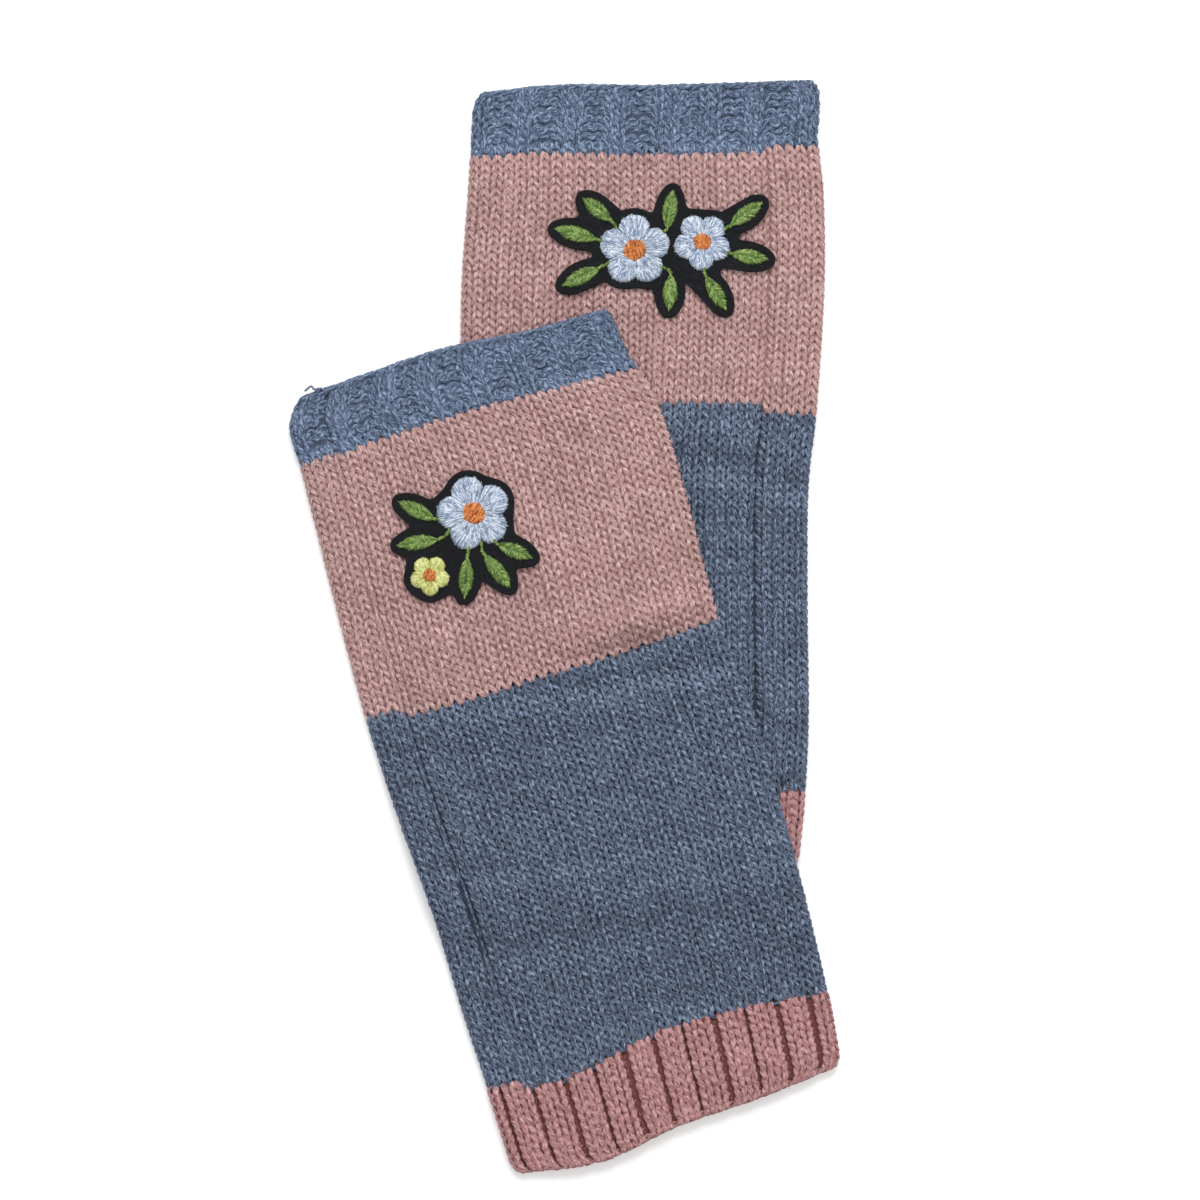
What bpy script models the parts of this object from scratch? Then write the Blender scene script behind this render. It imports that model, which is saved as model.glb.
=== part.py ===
"""A pair of knitted arm warmers laid flat, the front one lying across the rear one.

Each warmer is a flattened tube knitted in four pieces: a ribbed upper cuff, an upper band, a lower
band and a ribbed lower cuff. A flower patch is sewn on each upper band. Metres, +Z up, the origin on
the floor under the middle of the pair, +Y towards the upper cuffs.
"""

import math
from dataclasses import dataclass
from typing import NamedTuple

import bmesh
import bpy
from mathutils import Vector
from mathutils.bvhtree import BVHTree

MM = 0.001

# Driving dimensions of the cloth.
WALL = 2.4 * MM  # knitted cloth of a yarn about 2 mm thick
HOLLOW = 0.8 * MM  # what is left open inside the flattened tube
TUBE = 2 * WALL + HOLLOW  # a warmer's height off the floor
SEAM = 0.3 * MM  # gap between pieces that are sewn or knitted together
CORNER = 3.0 * MM  # rounding of a cuff's corners, seen from above

# How the front warmer climbs over the rear one.
CLEARANCE = 0.9 * MM  # between the two warmers, so that the ribs of the rear one fit under
RAMP_START = 32.0 * MM  # outside the rear warmer's edge, where the front one leaves the floor
RAMP_END = 4.0 * MM  # outside that edge, where it has its full height

# Grid of the solids.
BODY_COLUMNS = 16  # faces across one side of a band
FOLD_STEPS = 3  # faces round each side fold
BODY_RING = 10.0 * MM  # distance between two rings of a band
CUFF_RING = 9.0 * MM  # distance between two rings of a cuff

# Ribs: the height of each point across one rib, over and over, on the cuff's upper side.
UPPER_RIB = (0.35 * MM, 0.35 * MM, -0.25 * MM, -0.25 * MM)  # two knit wales, two purl wales
UPPER_RIBS = 8
LOWER_RIB = (-0.6 * MM, 0.4 * MM, 0.4 * MM)  # one sunk purl wale, two knit wales
LOWER_RIBS = 11

# Flower patches.
BACKING = 1.0 * MM  # thickness of the black backing
BACKING_EDGE = 2.3  # millimetres of backing outside the embroidery
BACKING_BLEND = 1.2  # millimetres over which two edges of the backing run into each other
BACKING_STEP = 0.2  # millimetres between the places tried along a spoke
BACKING_REACH = 45.0  # millimetres, more than any backing reaches
BACKING_SPOKES = 60
THREAD = 0.7 * MM  # height of the embroidery at its middle
THREAD_EDGE = 0.45  # share of that height left at the edge
LAID_RING = 5.0 * MM  # widest distance between two rings of a piece laid on another
PETALS = 5
PETAL_MIDDLE = 0.55  # how far out a round petal's middle lies, as a share of the blossom's radius
PETAL_SPOKES = 30
LEAF_SPOKES = 14
LEAF_DISCS = 5  # discs along a leaf that the backing's edge follows
HEART_SPOKES = 10

SLATE = (0.127, 0.165, 0.235)
ROSE = (0.435, 0.262, 0.256)
SLATE_CUFF = (0.150, 0.195, 0.280)
ROSE_CUFF = (0.350, 0.190, 0.192)
BLACK_THREAD = (0.010, 0.012, 0.018)
SILVER_THREAD = (0.45, 0.52, 0.62)
OLIVE_THREAD = (0.14, 0.27, 0.05)
ORANGE_THREAD = (0.66, 0.21, 0.035)
YELLOW_THREAD = (0.68, 0.71, 0.20)


class Station(NamedTuple):
    """One row of knitting: its ends on the two side folds, and its sag at three places between.

    Millimetres. The reach is the distance from the upper edge along the warmer. The sags, at a
    quarter, a half and three quarters of the width, are towards the lower cuff.
    """

    reach: float
    left_x: float
    left_y: float
    right_x: float
    right_y: float
    sag_left: float
    sag_middle: float
    sag_right: float


FRONT_ROWS = (
    #       reach  left x  left y  right x right y  sag l  sag m  sag r
    Station(0.0, -94.1, 80.1, 16.4, 111.6, -1.7, -2.1, 0.0),
    Station(12.0, -96.6, 68.2, 20.3, 101.8, -1.5, -2.0, -0.3),
    Station(22.8, -93.1, 57.0, 25.2, 91.3, -1.4, -2.1, -1.2),
    Station(40.0, -88.9, 40.6, 33.8, 76.6, -0.8, -1.2, -0.8),
    Station(75.5, -80.1, 5.9, 43.7, 42.7, 0.0, 0.5, 0.3),
    Station(116.0, -69.6, -33.2, 54.1, 3.3, 1.6, 1.5, 1.6),
    Station(150.0, -59.1, -65.4, 65.9, -28.4, 1.5, 1.5, 0.8),
    Station(185.8, -46.9, -99.0, 75.8, -63.0, 1.0, 0.5, -0.5),
    Station(222.0, -36.4, -133.7, 85.0, -98.0, 1.0, -0.8, -2.0),
    Station(252.5, -26.9, -162.7, 92.0, -127.4, 1.2, -4.2, -3.7),
    Station(280.0, -17.6, -192.2, 96.6, -153.4, 5.8, 3.4, 2.8),
)
REAR_ROWS = (
    Station(0.0, -31.1, 187.0, 89.0, 191.3, -1.6, -0.4, -0.2),
    Station(10.5, -32.5, 176.7, 88.5, 179.2, -1.4, -0.6, -0.4),
    Station(21.7, -33.2, 165.2, 88.2, 168.3, -1.1, 0.1, 0.0),
    Station(37.6, -34.3, 149.4, 89.9, 152.2, -0.8, -0.2, 0.0),
    Station(67.8, -36.4, 119.7, 90.6, 121.4, -0.5, -0.5, -0.5),
    Station(113.0, -36.7, 75.9, 88.2, 75.3, 0.0, -1.2, -1.5),
    Station(137.8, -36.7, 51.4, 85.4, 49.7, 0.0, -0.5, -0.5),
    Station(179.0, -36.7, 9.4, 85.0, 9.4, 0.0, 0.0, 0.0),
    Station(220.7, -36.7, -32.5, 85.4, -31.8, 0.0, 0.0, 0.0),
    Station(245.2, -36.4, -57.0, 84.3, -56.3, 0.0, 0.0, 0.0),
    Station(273.7, -34.6, -85.7, 81.5, -84.7, 0.5, 1.0, 0.5),
)
SAG_PLACES = (-1.0, -0.5, 0.0, 0.5, 1.0)


@dataclass(frozen=True)
class Warmer:
    """A warmer: its rows of knitting, and the reaches where one piece ends and the next starts."""

    name: str
    rows: tuple
    cuff_end: float
    stripe: float
    band_end: float
    over_rear: bool

    @property
    def length(self):
        return self.rows[-1].reach


FRONT = Warmer("front", FRONT_ROWS, cuff_end=22.8, stripe=116.0, band_end=252.5, over_rear=True)
REAR = Warmer("rear", REAR_ROWS, cuff_end=21.7, stripe=113.0, band_end=245.2, over_rear=False)


class Petalled(NamedTuple):
    """A blossom on a patch: millimetres from the patch's middle, and its radii."""

    x: float
    y: float
    radius: float
    turn: float
    heart: float
    thread: tuple


class Leaf(NamedTuple):
    """A pointed leaf on a patch: the millimetres to its middle, its size and its angle in degrees."""

    x: float
    y: float
    length: float
    width: float
    angle: float


@dataclass(frozen=True)
class Patch:
    """A flower patch: where its middle lies, how it is turned, and what is embroidered on it."""

    name: str
    x: float
    y: float
    turn: float
    blossoms: tuple
    leaves: tuple


FRONT_PATCH = Patch(
    name="front_patch",
    x=-37.1,
    y=32.2,
    turn=16.0,
    blossoms=(
        #        x      y      radius turn heart thread
        Petalled(7.4, 5.5, 13.0, 18.0, 4.0, SILVER_THREAD),
        Petalled(-13.3, -11.0, 7.0, 40.0, 2.4, YELLOW_THREAD),
    ),
    leaves=(
        #    x      y      length width angle
        Leaf(-11.5, 12.0, 14.0, 5.0, 138.0),
        Leaf(-14.3, 1.2, 14.5, 5.0, 172.0),
        Leaf(-1.4, -15.2, 14.0, 5.0, 250.0),
        Leaf(9.7, -16.1, 14.5, 5.0, 292.0),
        Leaf(17.5, -11.0, 13.0, 4.8, 322.0),
    ),
)
REAR_PATCH = Patch(
    name="rear_patch",
    x=33.4,
    y=130.5,
    turn=1.0,
    blossoms=(
        Petalled(-9.0, 1.0, 12.5, 90.0, 4.0, SILVER_THREAD),
        Petalled(14.5, 3.5, 10.0, 50.0, 3.2, SILVER_THREAD),
    ),
    leaves=(
        Leaf(-29.5, 7.0, 15.0, 5.2, 165.0),
        Leaf(-28.0, -8.0, 14.0, 5.2, 205.0),
        Leaf(-22.0, 15.5, 12.0, 5.0, 140.0),
        Leaf(3.5, 15.0, 13.5, 5.0, 80.0),
        Leaf(30.0, 13.0, 13.5, 5.0, 35.0),
        Leaf(31.0, -2.0, 13.0, 5.0, 350.0),
        Leaf(19.0, -14.5, 13.5, 5.0, 300.0),
        Leaf(3.0, -14.0, 12.5, 5.0, 265.0),
    ),
)


def clear_scene():
    for obj in list(bpy.data.objects):
        bpy.data.objects.remove(obj)


def cloth(name, colour, roughness):
    material = bpy.data.materials.new(name)
    material.use_nodes = True
    surface = material.node_tree.nodes["Principled BSDF"]
    surface.inputs["Base Color"].default_value = (*colour, 1.0)
    surface.inputs["Roughness"].default_value = roughness
    surface.inputs["Metallic"].default_value = 0.0
    return material


def smooth_step(share):
    share = min(max(share, 0.0), 1.0)
    return share * share * (3.0 - 2.0 * share)


def curve_through(places, values, place):
    """The smooth curve through the values given at rising places, read at one place."""
    last = len(places) - 2
    index = max(i for i in range(last + 1) if i == 0 or places[i] <= place)

    def slope(i):
        low, high = max(i - 1, 0), min(i + 1, last + 1)
        return (values[high] - values[low]) / (places[high] - places[low])

    span = places[index + 1] - places[index]
    t = (place - places[index]) / span
    start, end = values[index], values[index + 1]
    pull_start, pull_end = slope(index) * span, slope(index + 1) * span
    return (
        (2 * t**3 - 3 * t**2 + 1) * start
        + (t**3 - 2 * t**2 + t) * pull_start
        + (3 * t**2 - 2 * t**3) * end
        + (t**3 - t**2) * pull_end
    )


def row_at(warmer, reach):
    """The knitted row at a reach: its two ends as points, and its three sags, all in metres."""
    reaches = [row.reach for row in warmer.rows]
    read = [curve_through(reaches, column, reach / MM) * MM for column in zip(*warmer.rows)]
    _, left_x, left_y, right_x, right_y, *sags = read
    return Vector((left_x, left_y)), Vector((right_x, right_y)), sags


def corner_share(warmer, reach, half_width):
    """How much of its width a row keeps, this near to a rounded end."""
    from_end = min(reach, warmer.length * MM - reach)
    if from_end >= CORNER:
        return 1.0
    pulled_in = CORNER - math.sqrt(CORNER**2 - (CORNER - from_end) ** 2)
    return 1.0 - pulled_in / half_width


def plan_point(warmer, reach, across):
    """Where a point of the cloth lies, seen from above; across runs from -1, left, to 1, right."""
    left, right, sags = row_at(warmer, reach)
    half = (right - left) / 2
    down = Vector((half.y, -half.x)).normalized()
    sag = curve_through(SAG_PLACES, (0.0, *sags, 0.0), across)
    return (left + right) / 2 + half * across * corner_share(warmer, reach, half.length) + down * sag


def half_width(warmer, reach):
    left, right, _ = row_at(warmer, reach)
    return (right - left).length / 2


def depth_inside_rear(x, y):
    """How far inside the rear warmer's outline a place lies; it is negative outside."""
    middles = [(row.left_y + row.right_y) / 2 * MM for row in REAR_ROWS]
    from_top, from_bottom = middles[0] - y, y - middles[-1]
    reach = min(max(from_top, 0.0), REAR.length * MM)
    left, right, _ = row_at(REAR, reach)
    sides = min(x - left.x, right.x - x)
    ends = min(from_top, from_bottom)
    if sides < 0 and ends < 0:
        return -math.hypot(sides, ends)
    return min(sides, ends)


def lift(warmer, x, y):
    """How high the warmer's underside is held off the floor, by the rear warmer under it."""
    if not warmer.over_rear:
        return 0.0
    share = (depth_inside_rear(x, y) + RAMP_START) / (RAMP_START - RAMP_END)
    return (TUBE + CLEARANCE) * smooth_step(share)


def wall_profile(half, columns, radius, relief):
    """One ring of a flattened tube: the offset from its middle and the height of each point.

    The radius is that of the side folds, whose middles are the same for the outer and inner rings.
    """
    middle = TUBE / 2
    flat = half - middle
    top = [-flat + 2 * flat * i / columns for i in range(columns + 1)]
    bottom = [flat - 2 * flat * i / BODY_COLUMNS for i in range(BODY_COLUMNS + 1)]
    turns = [math.pi / 2 - math.pi * i / FOLD_STEPS for i in range(1, FOLD_STEPS)]
    ring = [(x, middle + radius + relief[i % len(relief)]) for i, x in enumerate(top)]
    ring += [(flat + radius * math.cos(a), middle + radius * math.sin(a)) for a in turns]
    ring += [(x, middle - radius) for x in bottom]
    ring += [(-flat - radius * math.cos(a), middle - radius * math.sin(a)) for a in turns]
    return ring


def ring_points(warmer, reach, columns, radius, relief=(0.0,)):
    half = half_width(warmer, reach)
    points = []
    for offset, height in wall_profile(half, columns, radius, relief):
        place = plan_point(warmer, reach, offset / half)
        points.append((place.x, place.y, height + lift(warmer, place.x, place.y)))
    return points


def reaches_between(start, end, step, corners):
    """The reaches of a piece's rings: even steps, and two more at each rounded corner."""
    count = max(round((end - start) / step), 1)
    even = [start + (end - start) * i / count for i in range(count + 1)]
    return sorted({*even, *corners})


def tube_mesh(name, outer_rings, inner_rings):
    """A tube with a wall: its outer and inner rings, joined at both open ends."""
    shape = bmesh.new()
    outer = [[shape.verts.new(point) for point in ring] for ring in outer_rings]
    inner = [[shape.verts.new(point) for point in ring] for ring in inner_rings]
    strips = list(zip(outer, outer[1:])) + list(zip(inner, inner[1:]))
    strips += [(outer[0], inner[0]), (outer[-1], inner[-1])]
    for one, other in strips:
        for i in range(len(one)):
            following = (i + 1) % len(one)
            shape.faces.new((one[i], one[following], other[following], other[i]))
    return finished_mesh(name, shape)


def finished_mesh(name, shape):
    bmesh.ops.triangulate(shape, faces=shape.faces)
    bmesh.ops.recalc_face_normals(shape, faces=shape.faces)
    mesh = bpy.data.meshes.new(name)
    shape.to_mesh(mesh)
    shape.free()
    mesh.shade_smooth()
    mesh.set_sharp_from_angle(angle=math.radians(50))
    return mesh


def add_object(name, mesh, material, collection):
    obj = bpy.data.objects.new(name, mesh)
    obj.data.materials.append(material)
    collection.objects.link(obj)
    return obj


def tube_piece(warmer, part, start, end, step, columns, relief, corners, material, collection):
    """One knitted piece of a warmer, as a walled tube open at both ends."""
    reaches = reaches_between(start, end, step, corners)
    outer = [ring_points(warmer, reach, columns, TUBE / 2, relief) for reach in reaches]
    inner = [ring_points(warmer, reach, columns, HOLLOW / 2) for reach in reaches]
    name = f"{warmer.name}_{part}"
    return add_object(name, tube_mesh(name, outer, inner), material, collection)


def add_warmer(warmer, materials, collection):
    """The four pieces of a warmer, and the upper band, which carries the patch."""
    cuff_end, stripe, band_end = warmer.cuff_end * MM, warmer.stripe * MM, warmer.band_end * MM
    gap = SEAM / 2
    bottom = warmer.length * MM
    upper_corner = (CORNER * 0.3, CORNER)
    lower_corner = (bottom - CORNER, bottom - CORNER * 0.3)
    flat = (0.0,)
    tube_piece(warmer, "upper_cuff", 0.0, cuff_end - gap, CUFF_RING, UPPER_RIBS * len(UPPER_RIB),
               UPPER_RIB, upper_corner, materials["upper_cuff"], collection)
    band = tube_piece(warmer, "upper_band", cuff_end + gap, stripe - gap, BODY_RING, BODY_COLUMNS,
                      flat, (), materials["upper_band"], collection)
    tube_piece(warmer, "lower_band", stripe + gap, band_end - gap, BODY_RING, BODY_COLUMNS,
               flat, (), materials["lower_band"], collection)
    tube_piece(warmer, "lower_cuff", band_end + gap, bottom, CUFF_RING, LOWER_RIBS * len(LOWER_RIB),
               LOWER_RIB, lower_corner, materials["lower_cuff"], collection)
    return band


def height_of(bed, x, y):
    """The height of the upper side of the piece that another one is laid on."""
    hit, _, _, _ = bed.ray_cast(Vector((x, y, 1.0)), Vector((0.0, 0.0, -1.0)))
    return hit.z


def tree_of(obj):
    mesh = obj.data
    points = [vertex.co.copy() for vertex in mesh.vertices]
    return BVHTree.FromPolygons(points, [tuple(face.vertices) for face in mesh.polygons])


def laid_piece(name, middle, turn, radius_at, spokes, height, edge, bed):
    """A thin piece laid on another: rings of points round its middle, dropped on the bed.

    The outline is radius_at(angle) in metres, and the edge is the share of the height left there.
    """
    shape = bmesh.new()
    places = [(middle, 0.0)]
    widest = max(radius_at(2 * math.pi * spoke / spokes) for spoke in range(spokes))
    rings = math.ceil(widest / LAID_RING)
    for ring in range(1, rings + 1):
        for spoke in range(spokes):
            angle = 2 * math.pi * spoke / spokes
            reach = radius_at(angle) * ring / rings
            around = Vector((math.cos(angle + turn), math.sin(angle + turn)))
            places.append((middle + around * reach, ring / rings))
    under, over = [], []
    for place, share in places:
        floor = height_of(bed, place.x, place.y) + SEAM
        raised = height * (edge + (1.0 - edge) * (1.0 - share**2))
        under.append(shape.verts.new((place.x, place.y, floor)))
        over.append(shape.verts.new((place.x, place.y, floor + raised)))
    for side in (under, over):
        for spoke in range(spokes):
            following = (spoke + 1) % spokes
            shape.faces.new((side[0], side[1 + spoke], side[1 + following]))
            for ring in range(1, rings):
                near, far = 1 + (ring - 1) * spokes, 1 + ring * spokes
                shape.faces.new((side[near + spoke], side[far + spoke],
                                 side[far + following], side[near + following]))
    rim = 1 + (rings - 1) * spokes
    for spoke in range(spokes):
        following = (spoke + 1) % spokes
        shape.faces.new((under[rim + spoke], under[rim + following],
                         over[rim + following], over[rim + spoke]))
    return finished_mesh(name, shape)


def petal_radius(radius):
    """The outline of a blossom with round petals."""
    out, petal = radius * PETAL_MIDDLE, radius * (1 - PETAL_MIDDLE)

    def radius_at(angle):
        off_axis = (angle * PETALS + math.pi) % (2 * math.pi) - math.pi
        off_axis /= PETALS
        return out * math.cos(off_axis) + math.sqrt(petal**2 - (out * math.sin(off_axis)) ** 2)

    return radius_at


def leaf_radius(length, width):
    """The outline of a leaf between two arcs that meet at its two tips."""
    arc = (length**2 + width**2) / (4 * width)
    offset = arc - width / 2

    def radius_at(angle):
        return math.sqrt(arc**2 - (offset * math.cos(angle)) ** 2) - offset * abs(math.sin(angle))

    return radius_at


def discs_of(patch):
    """The discs that the embroidery of a patch fills, in millimetres: (x, y, radius)."""
    discs = []
    for bloom in patch.blossoms:
        out, petal = bloom.radius * PETAL_MIDDLE, bloom.radius * (1 - PETAL_MIDDLE)
        for number in range(PETALS):
            angle = math.radians(bloom.turn + 360 / PETALS * number)
            discs.append((bloom.x + out * math.cos(angle), bloom.y + out * math.sin(angle), petal))
    for leaf in patch.leaves:
        angle = math.radians(leaf.angle)
        for number in range(LEAF_DISCS):
            along = 2 * number / (LEAF_DISCS - 1) - 1
            radius = leaf.width / 2 * (1 - along**2)
            out = along * leaf.length / 2
            discs.append((leaf.x + out * math.cos(angle), leaf.y + out * math.sin(angle), radius))
    return discs


def backing_radius(patch):
    """The outline round all that is embroidered on a patch, a little outside it."""
    discs = discs_of(patch)

    def clearance(x, y):
        """How far a place is from the embroidery, blended where two discs are as near."""
        near = [math.hypot(x - disc_x, y - disc_y) - radius for disc_x, disc_y, radius in discs]
        return -BACKING_BLEND * math.log(sum(math.exp(-gap / BACKING_BLEND) for gap in near))

    def radius_at(angle):
        reach = BACKING_REACH
        while clearance(reach * math.cos(angle), reach * math.sin(angle)) > BACKING_EDGE:
            reach -= BACKING_STEP
        return reach * MM

    return radius_at


def on_patch(patch, x, y):
    """A place on the patch, given in millimetres from its middle, turned with the patch."""
    turn = math.radians(patch.turn)
    right = Vector((math.cos(turn), math.sin(turn)))
    up = Vector((-right.y, right.x))
    return Vector((patch.x, patch.y)) * MM + (right * x + up * y) * MM


def add_patch(patch, panel, threads, collection):
    """A black backing dropped on its panel, with blossoms and leaves embroidered on it."""
    turn = math.radians(patch.turn)
    backing_mesh = laid_piece(f"{patch.name}_backing", on_patch(patch, 0, 0), turn,
                              backing_radius(patch), BACKING_SPOKES, BACKING, 1.0, tree_of(panel))
    backing = add_object(backing_mesh.name, backing_mesh, threads[BLACK_THREAD], collection)
    bed = tree_of(backing)
    for number, bloom in enumerate(patch.blossoms, start=1):
        middle = on_patch(patch, bloom.x, bloom.y)
        name = f"{patch.name}_blossom_{number}"
        mesh = laid_piece(name, middle, turn + math.radians(bloom.turn), petal_radius(bloom.radius * MM),
                          PETAL_SPOKES, THREAD, THREAD_EDGE, bed)
        blossom = add_object(name, mesh, threads[bloom.thread], collection)
        heart_name = f"{patch.name}_heart_{number}"
        heart = laid_piece(heart_name, middle, turn, lambda _, size=bloom.heart: size * MM,
                           HEART_SPOKES, THREAD, THREAD_EDGE, tree_of(blossom))
        add_object(heart_name, heart, threads[ORANGE_THREAD], collection)
    for number, leaf in enumerate(patch.leaves, start=1):
        name = f"{patch.name}_leaf_{number}"
        mesh = laid_piece(name, on_patch(patch, leaf.x, leaf.y), turn + math.radians(leaf.angle),
                          leaf_radius(leaf.length * MM, leaf.width * MM), LEAF_SPOKES,
                          THREAD, THREAD_EDGE, bed)
        add_object(name, mesh, threads[OLIVE_THREAD], collection)


def main():
    clear_scene()
    collection = bpy.data.collections.new("arm_warmers")
    bpy.context.scene.collection.children.link(collection)
    yarns = {
        "upper_cuff": cloth("slate_cuff_yarn", SLATE_CUFF, 0.95),
        "upper_band": cloth("rose_yarn", ROSE, 0.95),
        "lower_band": cloth("slate_yarn", SLATE, 0.95),
        "lower_cuff": cloth("rose_cuff_yarn", ROSE_CUFF, 0.95),
    }
    threads = {
        BLACK_THREAD: cloth("black_thread", BLACK_THREAD, 0.7),
        SILVER_THREAD: cloth("silver_thread", SILVER_THREAD, 0.45),
        OLIVE_THREAD: cloth("olive_thread", OLIVE_THREAD, 0.5),
        ORANGE_THREAD: cloth("orange_thread", ORANGE_THREAD, 0.5),
        YELLOW_THREAD: cloth("yellow_thread", YELLOW_THREAD, 0.5),
    }
    for warmer, patch in ((REAR, REAR_PATCH), (FRONT, FRONT_PATCH)):
        panel = add_warmer(warmer, yarns, collection)
        add_patch(patch, panel, threads, collection)


main()
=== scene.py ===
"""Looks of a pair of knitted arm warmers laid flat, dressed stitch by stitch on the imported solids.

Every row of knitting is a yarn that runs in real loops over the cloth of its warmer, and every
embroidered flower is laid thread by thread on its black backing. Metres, +Z up, as in the frame.
"""

import sys
import logging
import math
from dataclasses import dataclass, field, replace
from enum import Enum
from typing import Callable, NamedTuple, Optional, Sequence

import bpy
import numpy as np
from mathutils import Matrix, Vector


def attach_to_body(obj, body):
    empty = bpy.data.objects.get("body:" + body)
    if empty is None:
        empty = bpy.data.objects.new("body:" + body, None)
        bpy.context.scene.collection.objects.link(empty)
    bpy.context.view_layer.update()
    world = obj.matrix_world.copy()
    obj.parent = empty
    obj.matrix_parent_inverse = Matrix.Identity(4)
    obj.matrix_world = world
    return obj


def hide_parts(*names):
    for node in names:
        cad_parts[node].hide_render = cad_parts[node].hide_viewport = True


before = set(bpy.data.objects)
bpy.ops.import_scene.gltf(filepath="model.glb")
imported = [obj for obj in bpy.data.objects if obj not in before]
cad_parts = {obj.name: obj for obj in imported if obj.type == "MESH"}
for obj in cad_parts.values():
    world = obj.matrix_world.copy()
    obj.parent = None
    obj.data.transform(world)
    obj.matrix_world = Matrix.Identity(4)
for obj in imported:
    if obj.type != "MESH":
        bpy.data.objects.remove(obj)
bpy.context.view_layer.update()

log = logging.getLogger("arm_warmers")

MM = 0.001
SEED = 31
Array = np.ndarray
Colour = tuple[float, float, float]


class Slot(Enum):
    """The material slots of the record."""

    SLATE = "slate_yarn"
    ROSE = "rose_yarn"
    BLACK = "black_thread"
    SILVER = "silver_thread"
    OLIVE = "olive_thread"
    ORANGE = "orange_thread"
    YELLOW = "yellow_thread"


class Knit(Enum):
    """How a piece of a warmer is knitted."""

    STOCKINETTE = "stockinette"
    WIDE_RIB = "two by two rib"
    DEEP_RIB = "two by one rib"


# The cloth of a warmer: where its stitches lie


class Station(NamedTuple):
    """One row of knitting: its ends on the side folds and its sags at three quarters, in mm."""

    reach: float
    left_x: float
    left_y: float
    right_x: float
    right_y: float
    sag_left: float
    sag_middle: float
    sag_right: float


FRONT_ROWS = (
    Station(0.0, -94.1, 80.1, 16.4, 111.6, -1.7, -2.1, 0.0),
    Station(12.0, -96.6, 68.2, 20.3, 101.8, -1.5, -2.0, -0.3),
    Station(22.8, -93.1, 57.0, 25.2, 91.3, -1.4, -2.1, -1.2),
    Station(40.0, -88.9, 40.6, 33.8, 76.6, -0.8, -1.2, -0.8),
    Station(75.5, -80.1, 5.9, 43.7, 42.7, 0.0, 0.5, 0.3),
    Station(116.0, -69.6, -33.2, 54.1, 3.3, 1.6, 1.5, 1.6),
    Station(150.0, -59.1, -65.4, 65.9, -28.4, 1.5, 1.5, 0.8),
    Station(185.8, -46.9, -99.0, 75.8, -63.0, 1.0, 0.5, -0.5),
    Station(222.0, -36.4, -133.7, 85.0, -98.0, 1.0, -0.8, -2.0),
    Station(252.5, -26.9, -162.7, 92.0, -127.4, 1.2, -4.2, -3.7),
    Station(280.0, -17.6, -192.2, 96.6, -153.4, 4.8, 1.8, 1.6),
)
REAR_ROWS = (
    Station(0.0, -31.6, 187.0, 90.2, 191.3, -1.6, -0.4, -0.2),
    Station(10.5, -32.8, 176.7, 89.8, 179.2, -1.4, -0.6, -0.4),
    Station(21.7, -33.4, 165.2, 89.1, 168.3, -1.1, 0.1, 0.0),
    Station(37.6, -34.3, 149.4, 90.6, 152.2, -0.8, -0.2, 0.0),
    Station(67.8, -36.4, 119.7, 91.0, 121.4, -0.5, -0.5, -0.5),
    Station(113.0, -36.7, 75.9, 88.2, 75.3, 0.0, -1.2, -1.5),
    Station(137.8, -36.7, 51.4, 85.4, 49.7, 0.0, -0.5, -0.5),
    Station(179.0, -36.7, 9.4, 85.0, 9.4, 0.0, 0.0, 0.0),
    Station(220.7, -36.7, -32.5, 85.4, -31.8, 0.0, 0.0, 0.0),
    Station(245.2, -36.4, -57.0, 84.3, -56.3, 0.0, 0.0, 0.0),
    Station(273.7, -34.6, -85.7, 81.5, -84.7, 0.5, 1.0, 0.5),
)
SAG_PLACES = (-1.0, -0.5, 0.0, 0.5, 1.0)

TUBE = 5.6  # mm, a warmer's thickness lying flat
FOLD_MIDDLE = TUBE / 2  # mm, from a side fold's edge to the middle of its turn
MID_CLOTH = 1.6  # mm, from the tube's middle plane to the middle of its cloth
CORNER = 5.5  # mm, of the round corners of the open ends
EDGE_DROP = 1.6  # mm that the upper side sinks towards a side fold
EDGE_SLOPE = 13.0  # mm over which it does
JOIN_WIDTH = 0.34 / 60  # half the width of the join's groove, as a share of the way round
JOIN_PART = 0.07 / 60  # the share that the columns beside the join part by, for each mm of its depth
CLEARANCE = 0.9  # mm between the two warmers
RAMP_START = 32.0  # mm outside the rear warmer where the front one starts to climb
RAMP_END = 4.0  # mm outside it where the front one is all the way up
TOP_SHARE = 0.5  # the share of the way round where the top side ends, at the right fold


def curve_through(places: Sequence[float], values: Array, at: Array) -> Array:
    """Read the smooth curve through values at rising places.

    Args:
        places: Where the values are given, rising, as (n,).
        values: The values at each place, as (n,), or as (n, m) with a curve for each place to read.
        at: Where to read.

    Returns:
        The curve's value at each place to read.
    """
    spots = np.asarray(places, float)
    last = len(spots) - 1
    index = np.clip(np.searchsorted(spots, at, side="right") - 1, 0, last - 1)
    low = np.maximum(np.arange(last + 1) - 1, 0)
    high = np.minimum(np.arange(last + 1) + 1, last)
    gaps = (spots[high] - spots[low]).reshape((-1,) + (1,) * (values.ndim - 1))
    slopes = (values[high] - values[low]) / gaps
    span = spots[index + 1] - spots[index]
    t = (at - spots[index]) / span
    own = (np.arange(values.shape[1]),) if values.ndim > 1 else ()
    start, end = (index, *own), (index + 1, *own)
    return (
        (2 * t**3 - 3 * t**2 + 1) * values[start]
        + (t**3 - 2 * t**2 + t) * slopes[start] * span
        + (3 * t**2 - 2 * t**3) * values[end]
        + (t**3 - t**2) * slopes[end] * span
    )


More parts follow.
